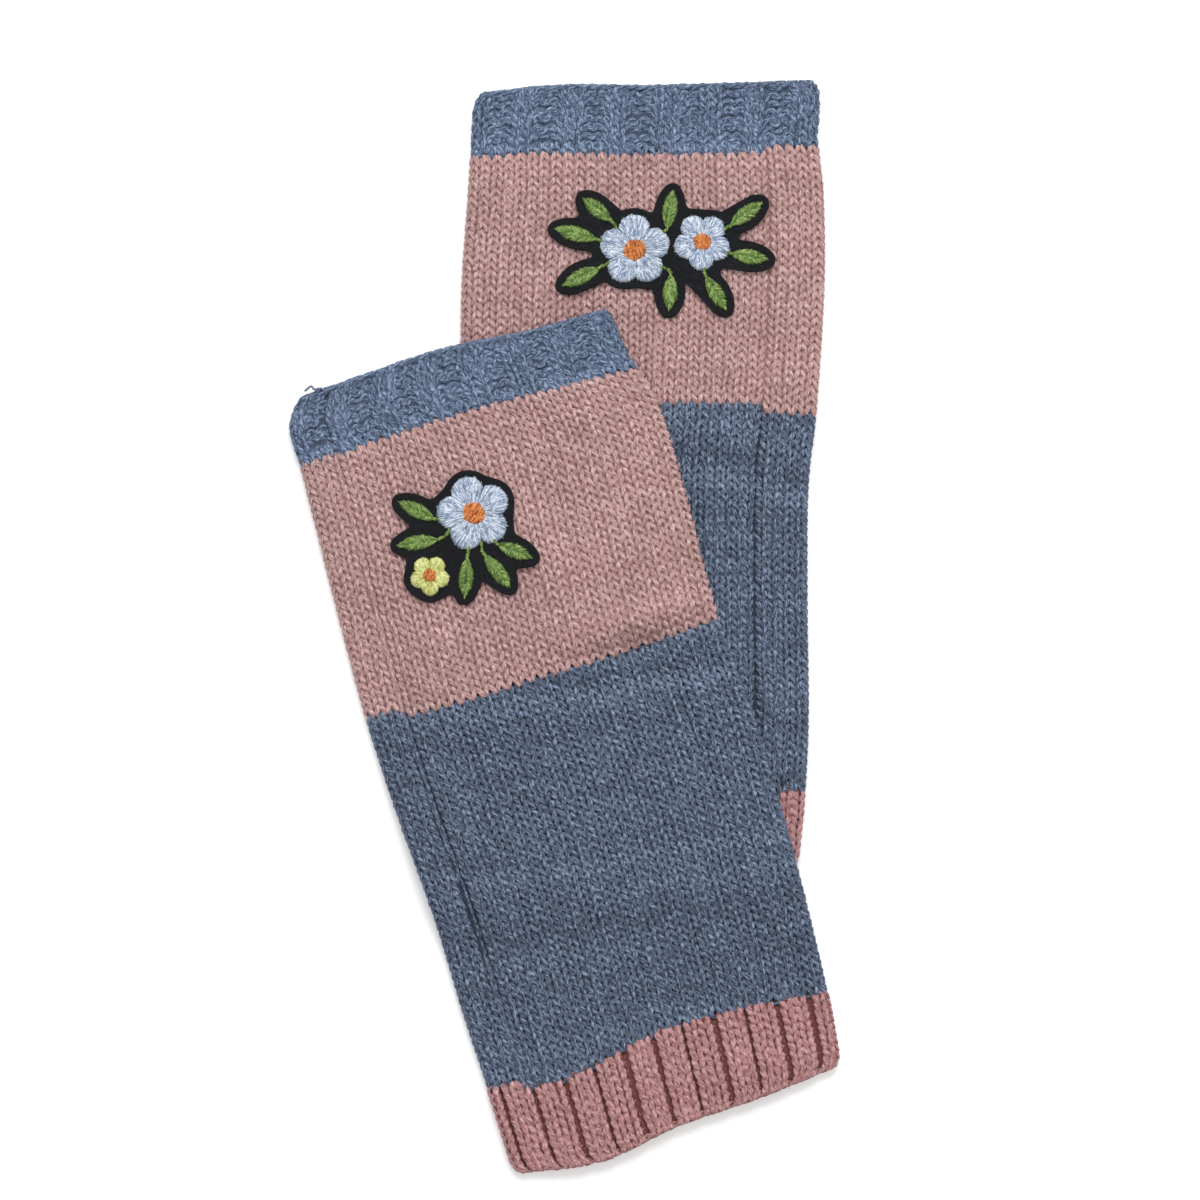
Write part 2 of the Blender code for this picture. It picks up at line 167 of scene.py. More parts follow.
def smooth_step(share: Array) -> Array:
    """Rise softly from 0 to 1 as the share does."""
    share = np.clip(share, 0.0, 1.0)
    return share * share * (3.0 - 2.0 * share)


def dome(share: Array) -> Array:
    """The height of a round dome, from 1 in its middle to 0 at a share of 1 of its radius."""
    return np.sqrt(np.clip(1 - share**2, 0, 1))


def unit(vectors: Array) -> Array:
    """The vectors, each scaled to a length of 1."""
    return vectors / np.maximum(np.linalg.norm(vectors, axis=-1, keepdims=True), 1e-12)


def off_stretch(x: Array, y: Array, one: Array, other: Array) -> tuple[Array, Array]:
    """How far places are from a straight stretch, and how far along it they are nearest to it."""
    length = np.linalg.norm(other - one)
    way = (other - one) / length
    along = np.clip((x - one[0]) * way[0] + (y - one[1]) * way[1], 0.0, length)
    return np.hypot(x - one[0] - along * way[0], y - one[1] - along * way[1]), along


class Crease(NamedTuple):
    """A soft trough, or a ridge where the depth is negative, along a line on the upper side.

    The line is in mm in plan; the depth and width are given at its start, middle and end.
    """

    line: tuple[tuple[float, float], ...]
    depths: tuple[float, float, float]
    widths: tuple[float, float, float]

    def depth_at(self, x: Array, y: Array) -> Array:
        """How far the crease takes the cloth down at places in plan, all in mm."""
        corners = np.asarray(self.line, float)
        run = np.concatenate(([0.0], np.cumsum(np.linalg.norm(np.diff(corners, axis=0), axis=1))))
        best, share = np.full(x.shape, 1e9), np.zeros(x.shape)
        for one, other, before in zip(corners, corners[1:], run):
            gap, along = off_stretch(x, y, one, other)
            share = np.where(gap < best, (before + along) / run[-1], share)
            best = np.minimum(gap, best)
        depth, width = (np.interp(share, (0.0, 0.5, 1.0), three) for three in (self.depths, self.widths))
        return depth * np.exp(-((best / width) ** 2))


FRONT_CREASES = (
    # A fold over the colour line, towards the right: its trough, and the ridge above it.
    Crease(((-2.0, -14.6), (22.0, -7.6), (49.0, 0.6)), (0.8, 3.2, 1.2), (3.0, 3.8, 3.2)),
    Crease(((0.0, -5.0), (23.0, 2.0), (46.0, 9.0)), (-0.7, -3.2, -1.6), (4.5, 5.2, 4.5)),
    # Waves of the resting cloth.
    Crease(((-80.0, 30.0), (-72.0, 8.0), (-69.0, -12.0)), (0.1, 0.8, 0.1), (7.0, 8.0, 6.0)),
    Crease(((20.0, 60.0), (30.0, 38.0), (36.0, 20.0)), (0.1, 0.8, 0.1), (7.0, 9.0, 7.0)),
    Crease(((-30.0, -50.0), (0.0, -46.0), (26.0, -33.0)), (0.1, 0.7, 0.1), (8.0, 9.0, 6.0)),
    Crease(((10.0, -66.0), (40.0, -70.0), (66.0, -58.0)), (0.1, 0.8, 0.3), (6.0, 8.0, 7.0)),
    Crease(((-20.0, -104.0), (14.0, -98.0), (44.0, -104.0)), (0.1, 0.7, 0.1), (7.0, 9.0, 6.0)),
    Crease(((20.0, -132.0), (50.0, -124.0), (80.0, -112.0)), (0.1, 0.8, 0.5), (6.0, 7.0, 6.0)),
)
REAR_CREASES = (
    Crease(((-30.0, 108.0), (-8.0, 100.0), (24.0, 104.0)), (0.1, 0.35, 0.1), (6.0, 8.0, 6.0)),
    Crease(((38.0, 62.0), (60.0, 52.0), (84.0, 56.0)), (0.1, 0.8, 0.5), (6.0, 7.0, 6.0)),
    Crease(((56.0, 10.0), (70.0, 6.0), (85.0, -6.0)), (0.2, 0.7, 0.5), (5.0, 7.0, 5.0)),
)
UNDER_CREASES = (
    # Ridges lift the undersides off the floor; these run across both warmers.
    Crease(((-60.0, 20.0), (-20.0, 34.0), (20.0, 26.0)), (0.2, 0.7, 0.2), (8.0, 9.0, 7.0)),
    Crease(((-40.0, -60.0), (0.0, -72.0), (50.0, -60.0)), (0.2, 0.6, 0.2), (7.0, 10.0, 8.0)),
    Crease(((0.0, -120.0), (30.0, -108.0), (70.0, -116.0)), (0.2, 0.6, 0.3), (7.0, 8.0, 6.0)),
    Crease(((-20.0, 150.0), (20.0, 140.0), (60.0, 150.0)), (0.2, 0.6, 0.2), (7.0, 9.0, 8.0)),
)


@dataclass
class Cloth:
    """The knitted tube of one warmer, as a map from its stitches to places in space.

    A place on it is told by its share of the way round, from the left fold over the top to the
    right fold at 0.5 and back under it, by its reach from the upper end and by its height off the
    middle of the cloth, outwards. Reaches and heights are in mm; places come out in metres.
    """

    name: str
    rows: tuple[Station, ...]
    cuff_end: float
    stripe: float
    band_end: float
    over_rear: bool
    creases: tuple[Crease, ...]
    join_share: float  # where the rounds start, as a share of the way round
    join_depths: tuple[tuple[float, float], ...]  # reaches in mm and how deep the join lies there
    first_rib: float  # ribs of the lower cuff from the left fold to its first groove
    steps: tuple[float, float, float]  # rows that the cuff's, stripe's and band's ends step by at the join
    loose_end: tuple[tuple[float, float, float], ...] = ()  # places in mm along a short end of yarn
    rests_on: tuple[str, ...] = ()  # what it lies on, besides the floor

    @property
    def length(self) -> float:
        """The warmer's length in mm."""
        return self.rows[-1].reach

    def join_depth(self, share: Array, reach: Array) -> Array:
        """How deep the cloth is drawn in along the join of its rounds, in mm."""
        gap = (share - self.join_share) / JOIN_WIDTH
        return np.interp(reach, *zip(*self.join_depths)) * np.exp(-(gap**2))

    def parted(self, share: Array, reach: Array) -> Array:
        """The shares of the way round, pushed off the join of the rounds where it lies deep."""
        gap = (share - self.join_share) * 60
        push = np.tanh(gap / 0.12) * np.exp(-((gap / 1.4) ** 2))
        push = push * (0.8 + 0.4 * np.sin(0.21 * reach) + 0.3 * np.sin(0.53 * reach))
        return share + JOIN_PART * np.interp(reach, *zip(*self.join_depths)) * push

    def row_at(self, reach: Array) -> tuple[Array, Array, Array]:
        """The rows at some reaches.

        Args:
            reach: Reaches in mm, of any shape.

        Returns:
            The left ends (..., 2), the right ends (..., 2) and the three sags (..., 3), in mm.
        """
        table = np.asarray(self.rows, float)
        read = np.stack([curve_through(table[:, 0], table[:, c], reach) for c in range(1, 8)], -1)
        return read[..., 0:2], read[..., 2:4], read[..., 4:7]

    def plan(self, reach: Array, offset: Array) -> Array:
        """Where the cloth lies seen from above.

        Args:
            reach: Reaches in mm.
            offset: Distances from the middle of the row, in mm, of the same shape.

        Returns:
            Plan points (..., 2) in mm.
        """
        left, right, sags = self.row_at(reach)
        half = (right - left) / 2
        wide = np.linalg.norm(half, axis=-1)
        across = np.clip(offset / wide, -1.0, 1.0)
        ends = np.zeros((*sags.shape[:-1], 1))
        knots = np.concatenate((ends, sags, ends), axis=-1).reshape(-1, len(SAG_PLACES)).T
        sag = curve_through(SAG_PLACES, knots, across.ravel()).reshape(across.shape)
        down = np.stack((half[..., 1], -half[..., 0]), -1) / wide[..., None]
        from_end = np.clip(np.minimum(reach, self.length - reach), 0.0, CORNER)
        pulled = CORNER - np.sqrt(CORNER**2 - (CORNER - from_end) ** 2)
        share = offset / wide * (1.0 - pulled / wide)
        return (left + right) / 2 + half * share[..., None] + down * sag[..., None]

    def lift(self, x: Array, y: Array) -> Array:
        """How high the underside is held off the floor by the warmer under it, in mm."""
        if not self.over_rear:
            return np.zeros(np.shape(x))
        share = (depth_inside_rear(x, y) + RAMP_START) / (RAMP_START - RAMP_END)
        return (TUBE + CLEARANCE) * smooth_step(share)

    def flat_width(self, reach: Array) -> Array:
        """Half the width of the flat part between the side folds, in mm."""
        left, right, _ = self.row_at(reach)
        return np.linalg.norm(right - left, axis=-1) / 2 - FOLD_MIDDLE

    def place(self, share: Array, reach: Array, height: Array) -> Array:
        """Find places on the cloth.

        Args:
            share: Shares of the way round.
            reach: Reaches in mm.
            height: Heights off the middle of the cloth, outwards, in mm.

        Returns:
            Points (..., 3) in metres.
        """
        share, reach, height = np.broadcast_arrays(share, reach, height)
        flat = self.flat_width(reach)
        quarter = math.pi / 2 * MID_CLOTH
        half_round = 2 * flat + 2 * quarter
        way = np.mod(share, 1.0) * 2 * half_round
        under = way > half_round
        way = np.where(under, 2 * half_round - way, way)
        radius = MID_CLOTH + height
        before = way < quarter
        after = way > quarter + 2 * flat
        turn = np.where(before, (quarter - way) / MID_CLOTH, 0.0)
        turn = np.where(after, (way - quarter - 2 * flat) / MID_CLOTH, turn)
        offset = np.where(before, -flat - radius * np.sin(turn), way - quarter - flat)
        offset = np.where(after, flat + radius * np.sin(turn), offset)
        rise = radius * np.cos(turn)
        spot = self.plan(reach, offset)
        x, y = spot[..., 0], spot[..., 1]
        trough, ridge = (sum(c.depth_at(x, y) for c in creases) for creases in (self.creases, UNDER_CREASES))
        from_fold = FOLD_MIDDLE + flat - np.abs(offset)
        trough = trough + EDGE_DROP * np.exp(-((from_fold / EDGE_SLOPE) ** 2))
        bent = np.where(under, ridge, -trough) * np.clip(np.cos(turn), 0.0, 1.0)
        level = self.lift(x, y) + FOLD_MIDDLE + np.where(under, -rise, rise) + bent
        return np.stack((x, y, level), -1) * MM

    def outward(self, share: Array, reach: Array) -> Array:
        """The cloth's outward normals at some shares of the way round and reaches."""
        low, high = (self.place(share, reach, np.float64(height)) for height in (-0.4, 0.4))
        return unit(high - low)


def depth_inside_rear(x: Array, y: Array) -> Array:
    """How far inside the rear warmer's outline places lie, in mm; negative outside."""
    middles = [(row.left_y + row.right_y) / 2 for row in REAR_ROWS]
    from_top, from_bottom = middles[0] - y, y - middles[-1]
    table = np.asarray(REAR_ROWS, float)
    reach = np.clip(from_top, 0.0, table[-1, 0])
    left, right = (curve_through(table[:, 0], table[:, column], reach) for column in (1, 3))
    sides = np.minimum(x - left, right - x)
    ends = np.minimum(from_top, from_bottom)
    both = -np.hypot(np.minimum(sides, 0.0), np.minimum(ends, 0.0))
    return np.where((sides < 0) & (ends < 0), both, np.minimum(sides, ends))


def depth_inside_front(x: Array, y: Array) -> Array:
    """How far inside the front warmer's outline places lie, in mm; negative outside."""
    corners = [row[1:3] for row in FRONT_ROWS] + [row[3:5] for row in FRONT_ROWS[::-1]]
    best, inside = np.full(x.shape, 1e9), np.zeros(x.shape, bool)
    for one, other in zip(np.asarray(corners), np.roll(corners, -1, axis=0)):
        best = np.minimum(best, off_stretch(x, y, one, other)[0])
        crosses = (one[1] > y) != (other[1] > y)
        rise = other[1] - one[1] or 1e-9
        inside ^= crosses & (x < one[0] + (y - one[1]) / rise * (other[0] - one[0]))
    return np.where(inside, best, -best)


FRONT = Cloth(
    name="front",
    rows=FRONT_ROWS,
    cuff_end=23.9,
    stripe=116.0,
    band_end=252.5,
    over_rear=True,
    creases=FRONT_CREASES,
    join_share=3.2 / 60,
    join_depths=((0, 1.0), (30, 1.1), (110, 0.9), (140, 1.8), (205, 1.9), (235, 0.5), (280, 0.1)),
    first_rib=0.3,
    steps=(0.2, 1.0, 1.0),
    loose_end=((-83.2, 81.2, 3.8), (-85, 83.2, 4.8), (-87.3, 82.9, 5), (-88.6, 84, 4.6), (-90.8, 82.3, 4.2)),
    rests_on=("rear_upper_band", "rear_lower_band", "rear_lower_cuff"),
)
REAR = Cloth(
    name="rear",
    rows=REAR_ROWS,
    cuff_end=22.8,
    stripe=113.0,
    band_end=245.2,
    over_rear=False,
    creases=REAR_CREASES,
    join_share=25.4 / 60,
    join_depths=(
        (0, 0.7), (40, 0.9), (110, 0.8), (150, 1.1), (190, 1.6), (222, 2.0), (250, 0.8), (274, 0.4)
    ),
    first_rib=0.0,
    steps=(-0.8, 1.0, 1.0),
)


# Meshes

YARN_MAP = "yarn"  # mm along the yarn, and the share of the way round it
BAKE_MAP = "OFBake"


def put(name: str, data: bpy.types.ID) -> bpy.types.Object:
    """Put an object of some data into the scene."""
    obj = bpy.data.objects.new(name, data)
    bpy.context.scene.collection.objects.link(obj)
    return obj


def ring_quads(near: Array, far: Array) -> Array:
    """The quads between rings of point numbers and the next rings, closed round."""
    return np.stack((near, far, np.roll(far, -1, -1), np.roll(near, -1, -1)), -1)


def rim_faces(count: int, around: int) -> tuple[Array, Array]:
    """The quads between rims of points, closed round, and the first and last rim as faces."""
    number = np.arange(count * around).reshape(count, around)
    return ring_quads(number[:-1], number[1:]).reshape(-1, 4), np.stack((number[0], number[-1][::-1]))


def quad_map(left: Array, right: Array, low: Array, high: Array) -> Array:
    """The maps of quads that run from (left, low) by (right, low) and (right, high) to (left, high)."""
    left, right, low, high = np.broadcast_arrays(left, right, low, high)
    return np.stack((np.stack((left, right, right, left), -1), np.stack((low, low, high, high), -1)), -1)


@dataclass
class MeshBuilder:
    """Gathers points and faces, with two maps given at the faces' corners, into one mesh."""

    name: str
    points: list[Array] = field(default_factory=list)
    faces: list[Array] = field(default_factory=list)
    yarn: list[Array] = field(default_factory=list)
    bake: list[Array] = field(default_factory=list)
    count: int = 0

    def add(self, points: Array, faces: Array, yarn: Array, bake: Array) -> None:
        """Add points, and faces that count from the first of them.

        Args:
            points: (..., 3), in metres.
            faces: (m, corners), indices into points.
            yarn: (m, corners, 2), the yarn map.
            bake: (m, corners, 2), the bake map.
        """
        self.points.append(points.reshape(-1, 3))
        self.count += len(self.points[-1])
        self.more_faces(faces, yarn, bake)

    def more_faces(self, faces: Array, yarn: Array, bake: Array) -> None:
        """Add faces on the points of the last add; their indices count from its first point."""
        self.faces.append(faces + self.count - len(self.points[-1]))
        self.yarn.append(yarn)
        self.bake.append(bake)

    def build(self, finish: "Finish") -> bpy.types.Object:
        """Make the object of all that was gathered, without the points that no face uses."""
        points = np.concatenate(self.points)
        used = np.zeros(len(points), bool)
        for group in self.faces:
            used[group.ravel()] = True
        renamed = np.cumsum(used) - 1
        corners = np.concatenate([renamed[group].ravel() for group in self.faces])
        sizes = np.concatenate([np.full(len(group), group.shape[1]) for group in self.faces])
        starts = np.concatenate(([0], np.cumsum(sizes)[:-1]))
        mesh = bpy.data.meshes.new(self.name)
        mesh.vertices.add(int(used.sum()))
        mesh.vertices.foreach_set("co", points[used].astype(np.float32).ravel())
        mesh.loops.add(len(corners))
        mesh.loops.foreach_set("vertex_index", corners.astype(np.int32))
        mesh.polygons.add(len(sizes))
        mesh.polygons.foreach_set("loop_start", starts.astype(np.int32))
        for title, maps in ((YARN_MAP, self.yarn), (BAKE_MAP, self.bake)):
            values = np.concatenate([group.reshape(-1, 2) for group in maps])
            mesh.uv_layers.new(name=title).data.foreach_set("uv", values.astype(np.float32).ravel())
        mesh.update(calc_edges=True)
        mesh.validate()
        mesh.polygons.foreach_set("use_smooth", np.ones(len(mesh.polygons), bool))
        mesh.materials.append(finish.material())
        return put(self.name, mesh)


@dataclass
class Strands:
    """Strands of yarn or thread, all sampled at as many places: lines, normals and thicknesses."""

    lines: Array  # (strands, places, 3) in metres
    normals: Array  # (strands, places, 3)
    half_width: Array  # (strands, places) in metres
    half_height: Array
    run: Array  # (strands, places), mm along the yarn

    def add_to(self, builder: MeshBuilder, angles: Sequence[float], keep: Optional[Array] = None) -> None:
        """Sweep the strands as tubes with closed ends.

        Args:
            builder: The mesh that they go into.
            angles: The angles in degrees of the tube's corners, rising, 0 to the side, 90 outward.
            keep: (strands, places - 1), which stretches are wanted; all of them if None.
        """
        strands, places = self.lines.shape[:2]
        corners = len(angles)
        if keep is None:
            keep = np.ones((strands, places - 1), bool)
        tangent = unit(np.gradient(self.lines, axis=1))
        side = unit(np.cross(tangent, self.normals))
        up = unit(np.cross(side, tangent))
        theta = np.radians(angles)
        across = self.half_width[..., None, None] * np.cos(theta)[:, None] * side[:, :, None]
        raised = self.half_height[..., None, None] * np.sin(theta)[:, None] * up[:, :, None]
        number = np.arange(strands * places * corners).reshape(strands, places, corners)
        quads = ring_quads(number[:, :-1], number[:, 1:])
        low, high = ((np.arange(corners) + edge) / corners for edge in (0, 1))
        yarn = quad_map(self.run[:, :-1, None], self.run[:, 1:, None], low, high)
        step = np.arange(places - 1)[:, None] / places
        base, top = ((np.arange(strands)[:, None, None] + edge * 0.9) / strands for edge in (low, high))
        bake = quad_map(step, step + 0.98 / places, base, top)
        wanted = np.broadcast_to(keep[:, :, None], quads.shape[:3])
        points = self.lines[:, :, None] + across + raised
        builder.add(points, quads[wanted], yarn[wanted], bake[wanted])
        self.close_ends(builder, number, keep)

    def close_ends(self, builder: MeshBuilder, number: Array, keep: Array) -> None:
        """Close both ends of every kept stretch with one flat face each."""
        edge = np.zeros((len(keep), 1), bool)
        padded = np.concatenate((edge, keep, edge), axis=1)
        starts = padded[:, 1:] & ~padded[:, :-1]
        ends = ~padded[:, 1:] & padded[:, :-1]
        for mask, order in ((starts, 1), (ends, -1)):
            caps = number[mask][:, ::order]
            run = np.broadcast_to(self.run[mask][:, None], caps.shape)
            yarn = np.stack((run, np.zeros(caps.shape)), -1)
            builder.more_faces(caps, yarn, np.full(yarn.shape, 0.999))


# Finishes

SHORT_TONE = 0.16  # how often the short stretches of yarn change their tone, per mm
LONG_TONE = 0.004  # the same for the long stretches


def linear(red: int, green: int, blue: int) -> Colour:
    """A colour read as 0 to 255 in sRGB, as linear values."""
    shares = [c / 255 for c in (red, green, blue)]
    return tuple(s / 12.92 if s <= 0.04045 else ((s + 0.055) / 1.055) ** 2.4 for s in shares)


@dataclass
class Graph:
    """Adds shader nodes to a material and joins them."""

    tree: bpy.types.NodeTree

    def fill(self, node: bpy.types.Node, inputs: dict) -> None:
        """Set a node's inputs, each to a value or to the socket that feeds it."""
        for key, value in inputs.items():
            if isinstance(value, bpy.types.NodeSocket):
                self.tree.links.new(value, node.inputs[key])
            else:
                node.inputs[key].default_value = value

    def add(self, kind: str, inputs: dict, out: str, **settings: str) -> bpy.types.NodeSocket:
        """Add a node.

        Args:
            kind: Its type, without the prefix.
            inputs: What its inputs are set to or fed by.
            out: The output that is wanted.
            settings: Its own settings.

        Returns:
            The socket of that output.
        """
        node = self.tree.nodes.new(f"ShaderNode{kind}")
        for key, value in settings.items():
            setattr(node, key, value)
        self.fill(node, inputs)
        return node.outputs[out]

    def math(self, operation: str, *values: object) -> bpy.types.NodeSocket:
        """Add a node that works out a number from others."""
        return self.add("Math", dict(enumerate(values)), "Value", operation=operation)


@dataclass(frozen=True)
class Finish:
    """A material whose colour runs from dark to light along streaks on the yarn map."""

    name: str
    dark: Colour
    middle: Colour
    light: Colour
    streak: tuple[float, float]  # how often the streaks change, per mm along and per turn round
    twist: float  # turns of the streaks round the yarn per mm
    plies: float  # plies that the yarn is twisted from
    ply_share: float  # how much of the colour follows the plies, not the streaks
    spread: float  # how far from a half the noise goes for the darkest and lightest colour
    patchy: float  # how much of the colour changes from one stretch of yarn to the next
    banded: float  # the same over long stretches, which shows along the rows
    roughness: float
    sheen: float
    bump: float  # mm
    drift: float  # how far the colour drifts over the cloth, as a share

    def material(self) -> bpy.types.Material:
        """Make the node material, whose colour comes from noise on the yarn map."""
        made = bpy.data.materials.new(self.name)
        made.use_nodes = True
        graph = Graph(made.node_tree)
        streaks = self.streaks(graph)
        colour = graph.add("ValToRGB", {"Fac": streaks}, "Color")
        stops = ((0.5 - self.spread, self.dark), (0.5, self.middle), (0.5 + self.spread, self.light))
        colour.node.color_ramp.elements.new(0.5)
        for element, (place, tone) in zip(colour.node.color_ramp.elements, stops):
            element.position = place
            element.color = (*tone, 1.0)
        raised = {"Strength": 1.0, "Distance": self.bump * MM, "Height": streaks}
        inputs = {
            "Base Color": self.drifted(graph, colour),
            "Roughness": self.roughness,
            "Specular IOR Level": 0.3,
            "Sheen Weight": self.sheen,
            "Sheen Roughness": 0.5,
            "Sheen Tint": (*self.light, 1.0),
            "Normal": graph.add("Bump", raised, "Normal"),
        }
        graph.fill(made.node_tree.nodes["Principled BSDF"], inputs)
        return made

    def streaks(self, graph: Graph) -> bpy.types.NodeSocket:
        """Noise drawn out along the yarn and twisted round it, lighter on some stretches of it; on satin
        thread its short, strong streaks are painted glints.
        """
        place = graph.add("UVMap", {}, "UV", uv_map=YARN_MAP)
        along = graph.add("SeparateXYZ", {"Vector": place}, "X")
        turned = graph.math("MULTIPLY_ADD", along, self.twist, along.node.outputs["Y"])
        x, y = (graph.math("MULTIPLY", *pair) for pair in zip((along, turned), self.streak))
        drawn = graph.add("CombineXYZ", {"X": x, "Y": y}, "Vector")
        inputs = {"Vector": drawn, "Scale": 1.0, "Detail": 2.0, "Roughness": 0.6}
        noise = graph.add("TexNoise", inputs, "Fac", noise_dimensions="2D")
        ply = graph.math("SINE", graph.math("MULTIPLY", turned, 2 * math.pi * self.plies))
        total = graph.math("MULTIPLY_ADD", ply, self.ply_share, noise)
        for often, amount in ((SHORT_TONE, self.patchy), (LONG_TONE, self.banded)):
            inputs = {"W": along, "Scale": often, "Detail": 1.0}
            tone = graph.add("TexNoise", inputs, "Fac", noise_dimensions="1D")
            total = graph.math("MULTIPLY_ADD", graph.math("SUBTRACT", tone, 0.5), amount, total)
        return total

    def drifted(self, graph: Graph, colour: bpy.types.NodeSocket) -> bpy.types.NodeSocket:
        """The colour, lighter here and darker there over some centimetres of cloth."""
        place = graph.add("TexCoord", {}, "Object")
        noise = graph.add("TexNoise", {"Vector": place, "Scale": 60.0, "Detail": 3.0}, "Fac")
        ends = {"From Min": 0.3, "From Max": 0.7, "To Min": 1.0 - self.drift, "To Max": 1.0 + self.drift}
        level = graph.add("MapRange", {"Value": noise, **ends}, "Result")
        return graph.add("VectorMath", {0: colour, "Scale": level}, "Vector", operation="SCALE")


def dyed(name: str, *tones: tuple[int, int, int], **manner: object) -> Finish:
    """A finish of a dark, a middle and a light tone in sRGB, in the manner of wool or satin thread."""
    return Finish(name, *(linear(*tone) for tone in tones), **manner)


WOOL = {
    "streak": (0.6, 12.0),
    "twist": 0.07,
    "plies": 3.0,
    "ply_share": 0.05,
    "spread": 0.23,
    "patchy": 0.1,
    "banded": 0.12,
    "roughness": 0.92,
    "sheen": 0.2,
    "bump": 0.3,
    "drift": 0.07,
}
# Satin thread: its short streaks of strong contrast and light tones paint glints of light along the threads,
# besides the tone that differs from one thread to the next.
SATIN_PAINTED_GLINTS = {
    "streak": (1.1, 2.0),
    "twist": 0.0,
    "plies": 0.0,
    "ply_share": 0.0,
    "spread": 0.2,
    "patchy": 0.9,
    "banded": 0.0,
    "roughness": 0.45,
    "sheen": 0.05,
    "bump": 0.06,
    "drift": 0.05,
}
COTTON = WOOL | {"streak": (3.0, 3.0), "plies": 0.0, "sheen": 0.0, "bump": 0.12}

ROSE_YARN = dyed("rose_yarn", (142, 101, 95), (186, 147, 144), (224, 195, 193), **WOOL)
ROSE_CUFF = dyed("rose_cuff", (136, 84, 80), (181, 133, 133), (212, 173, 175), **WOOL)
# Painted shade: the bed and gap finishes are darker copies of the rose yarn for the shell that shows between
# the stitches, the gap's darkest for the deep grooves of the cuff.
ROSE_BED_SHADE = dyed("rose_bed_shade", (150, 106, 100), (172, 128, 122), (190, 148, 142), **WOOL)
ROSE_GAP_SHADE = dyed("rose_gap_shade", (102, 54, 48), (126, 72, 66), (148, 92, 86), **WOOL)
ROSE_FUZZ = dyed("rose_fuzz", (190, 156, 152), (216, 186, 184), (240, 216, 214), **WOOL)
SLATE_YARN = dyed("slate_yarn", (42, 50, 66), (85, 97, 118), (150, 166, 192), **WOOL)
SLATE_CUFF = dyed("slate_cuff", (53, 65, 85), (94, 110, 135), (152, 171, 200), **(WOOL | {"spread": 0.2}))
# Painted shade: the bed and gap finishes are darker copies of the slate yarn for the shell that shows
# between the stitches.
SLATE_BED_SHADE = dyed("slate_bed_shade", (58, 68, 86), (76, 88, 108), (96, 110, 132), **WOOL)
SLATE_GAP_SHADE = dyed("slate_gap_shade", (34, 40, 52), (46, 54, 68), (60, 69, 86), **WOOL)
SLATE_FUZZ = dyed("slate_fuzz", (110, 124, 148), (148, 164, 190), (184, 200, 224), **WOOL)
BLACK_THREAD = dyed("black_thread", (6, 6, 8), (14, 15, 18), (34, 36, 42), **COTTON)
SILVER_THREAD = dyed("silver_thread", (112, 128, 158), (172, 188, 210), (238, 244, 250), **SATIN_PAINTED_GLINTS)
OLIVE_THREAD = dyed("olive_thread", (58, 82, 32), (98, 128, 58), (160, 186, 108), **SATIN_PAINTED_GLINTS)
ORANGE_THREAD = dyed("orange_thread", (150, 72, 24), (204, 118, 56), (236, 166, 104), **SATIN_PAINTED_GLINTS)
YELLOW_THREAD = dyed("yellow_thread", (164, 168, 84), (208, 212, 128), (240, 242, 188), **SATIN_PAINTED_GLINTS)


# Knitting


@dataclass(frozen=True)
class Gauge:
    """How a piece is knitted: its columns and rows, and the loop that they are made of."""

    knit: Knit
    wales: int  # columns round the tube
    rows: int
    shares: tuple[float, ...]  # widths of the columns of one rib, as shares of the rib
    sides: tuple[float, ...]  # 1 for a column that shows its knit side, -1 for its purl side
    levels: tuple[float, ...]  # mm that each column stands out
    phase: float = 0.0  # ribs from the left fold to where the first rib starts
    slant: float = 0.235  # columns that the loop is drawn in at its foot and out at its head
    tall: float = 0.8  # rows that the loop stands above and below its row
    depth: float = 0.62  # mm that the legs come forward and the head goes back
    half_width: float = 1.0  # mm, of the yarn
    half_height: float = 0.78
    uneven: float = 1.0  # how far its stitches differ, against plain ones
    plain_first: bool = False  # whether the first row over the band is knitted plain

    @property
    def edges(self) -> Array:
        """Where the columns of a rib start and end, as shares of the rib."""
        return np.concatenate(([0.0], np.cumsum(self.shares)))

    @property
    def before(self) -> float:
        """Columns from the left fold to where the first rib starts."""
        return self.phase * len(self.shares)

    def wale_of(self, share: Array) -> Array:
        """The column counted from the first rib's start, at a share of the way round."""
        rib = len(self.shares)
        ribs, within = np.divmod(share * self.wales / rib - self.phase, 1.0)
        return ribs * rib + np.interp(within, self.edges, np.arange(rib + 1))

    def level_at(self, wale: Array) -> Array:
        """How far the columns stand out, blended where two meet."""
        return from_column(self.levels, wale, 1.6)

    def side_at(self, wale: Array) -> Array:
        """1 on a column's knit side and -1 on its purl side, blended where two meet."""
        return from_column(self.sides, wale, 4.0)

    def narrowness(self, wale: Array) -> Array:
        """How wide the yarn lies on its column, against an even column of this gauge."""
        rib = len(self.shares)
        column = np.mod(np.floor(wale), rib).astype(int)
        return np.clip((np.asarray(self.shares) * rib)[column], 0.55, 1.15)


def from_column(values: Sequence[float], wale: Array, steep: float) -> Array:
    """Values of the columns of a rib, blended from one to the next as steeply as told."""
    ring = np.asarray(values)
    index = np.floor(wale - 0.5)
    blend = smooth_step((wale - 0.5 - index) * steep - (steep - 1) / 2)
    one, other = (ring[np.mod(index + step, len(ring)).astype(int)] for step in (0, 1))
    return one + (other - one) * blend


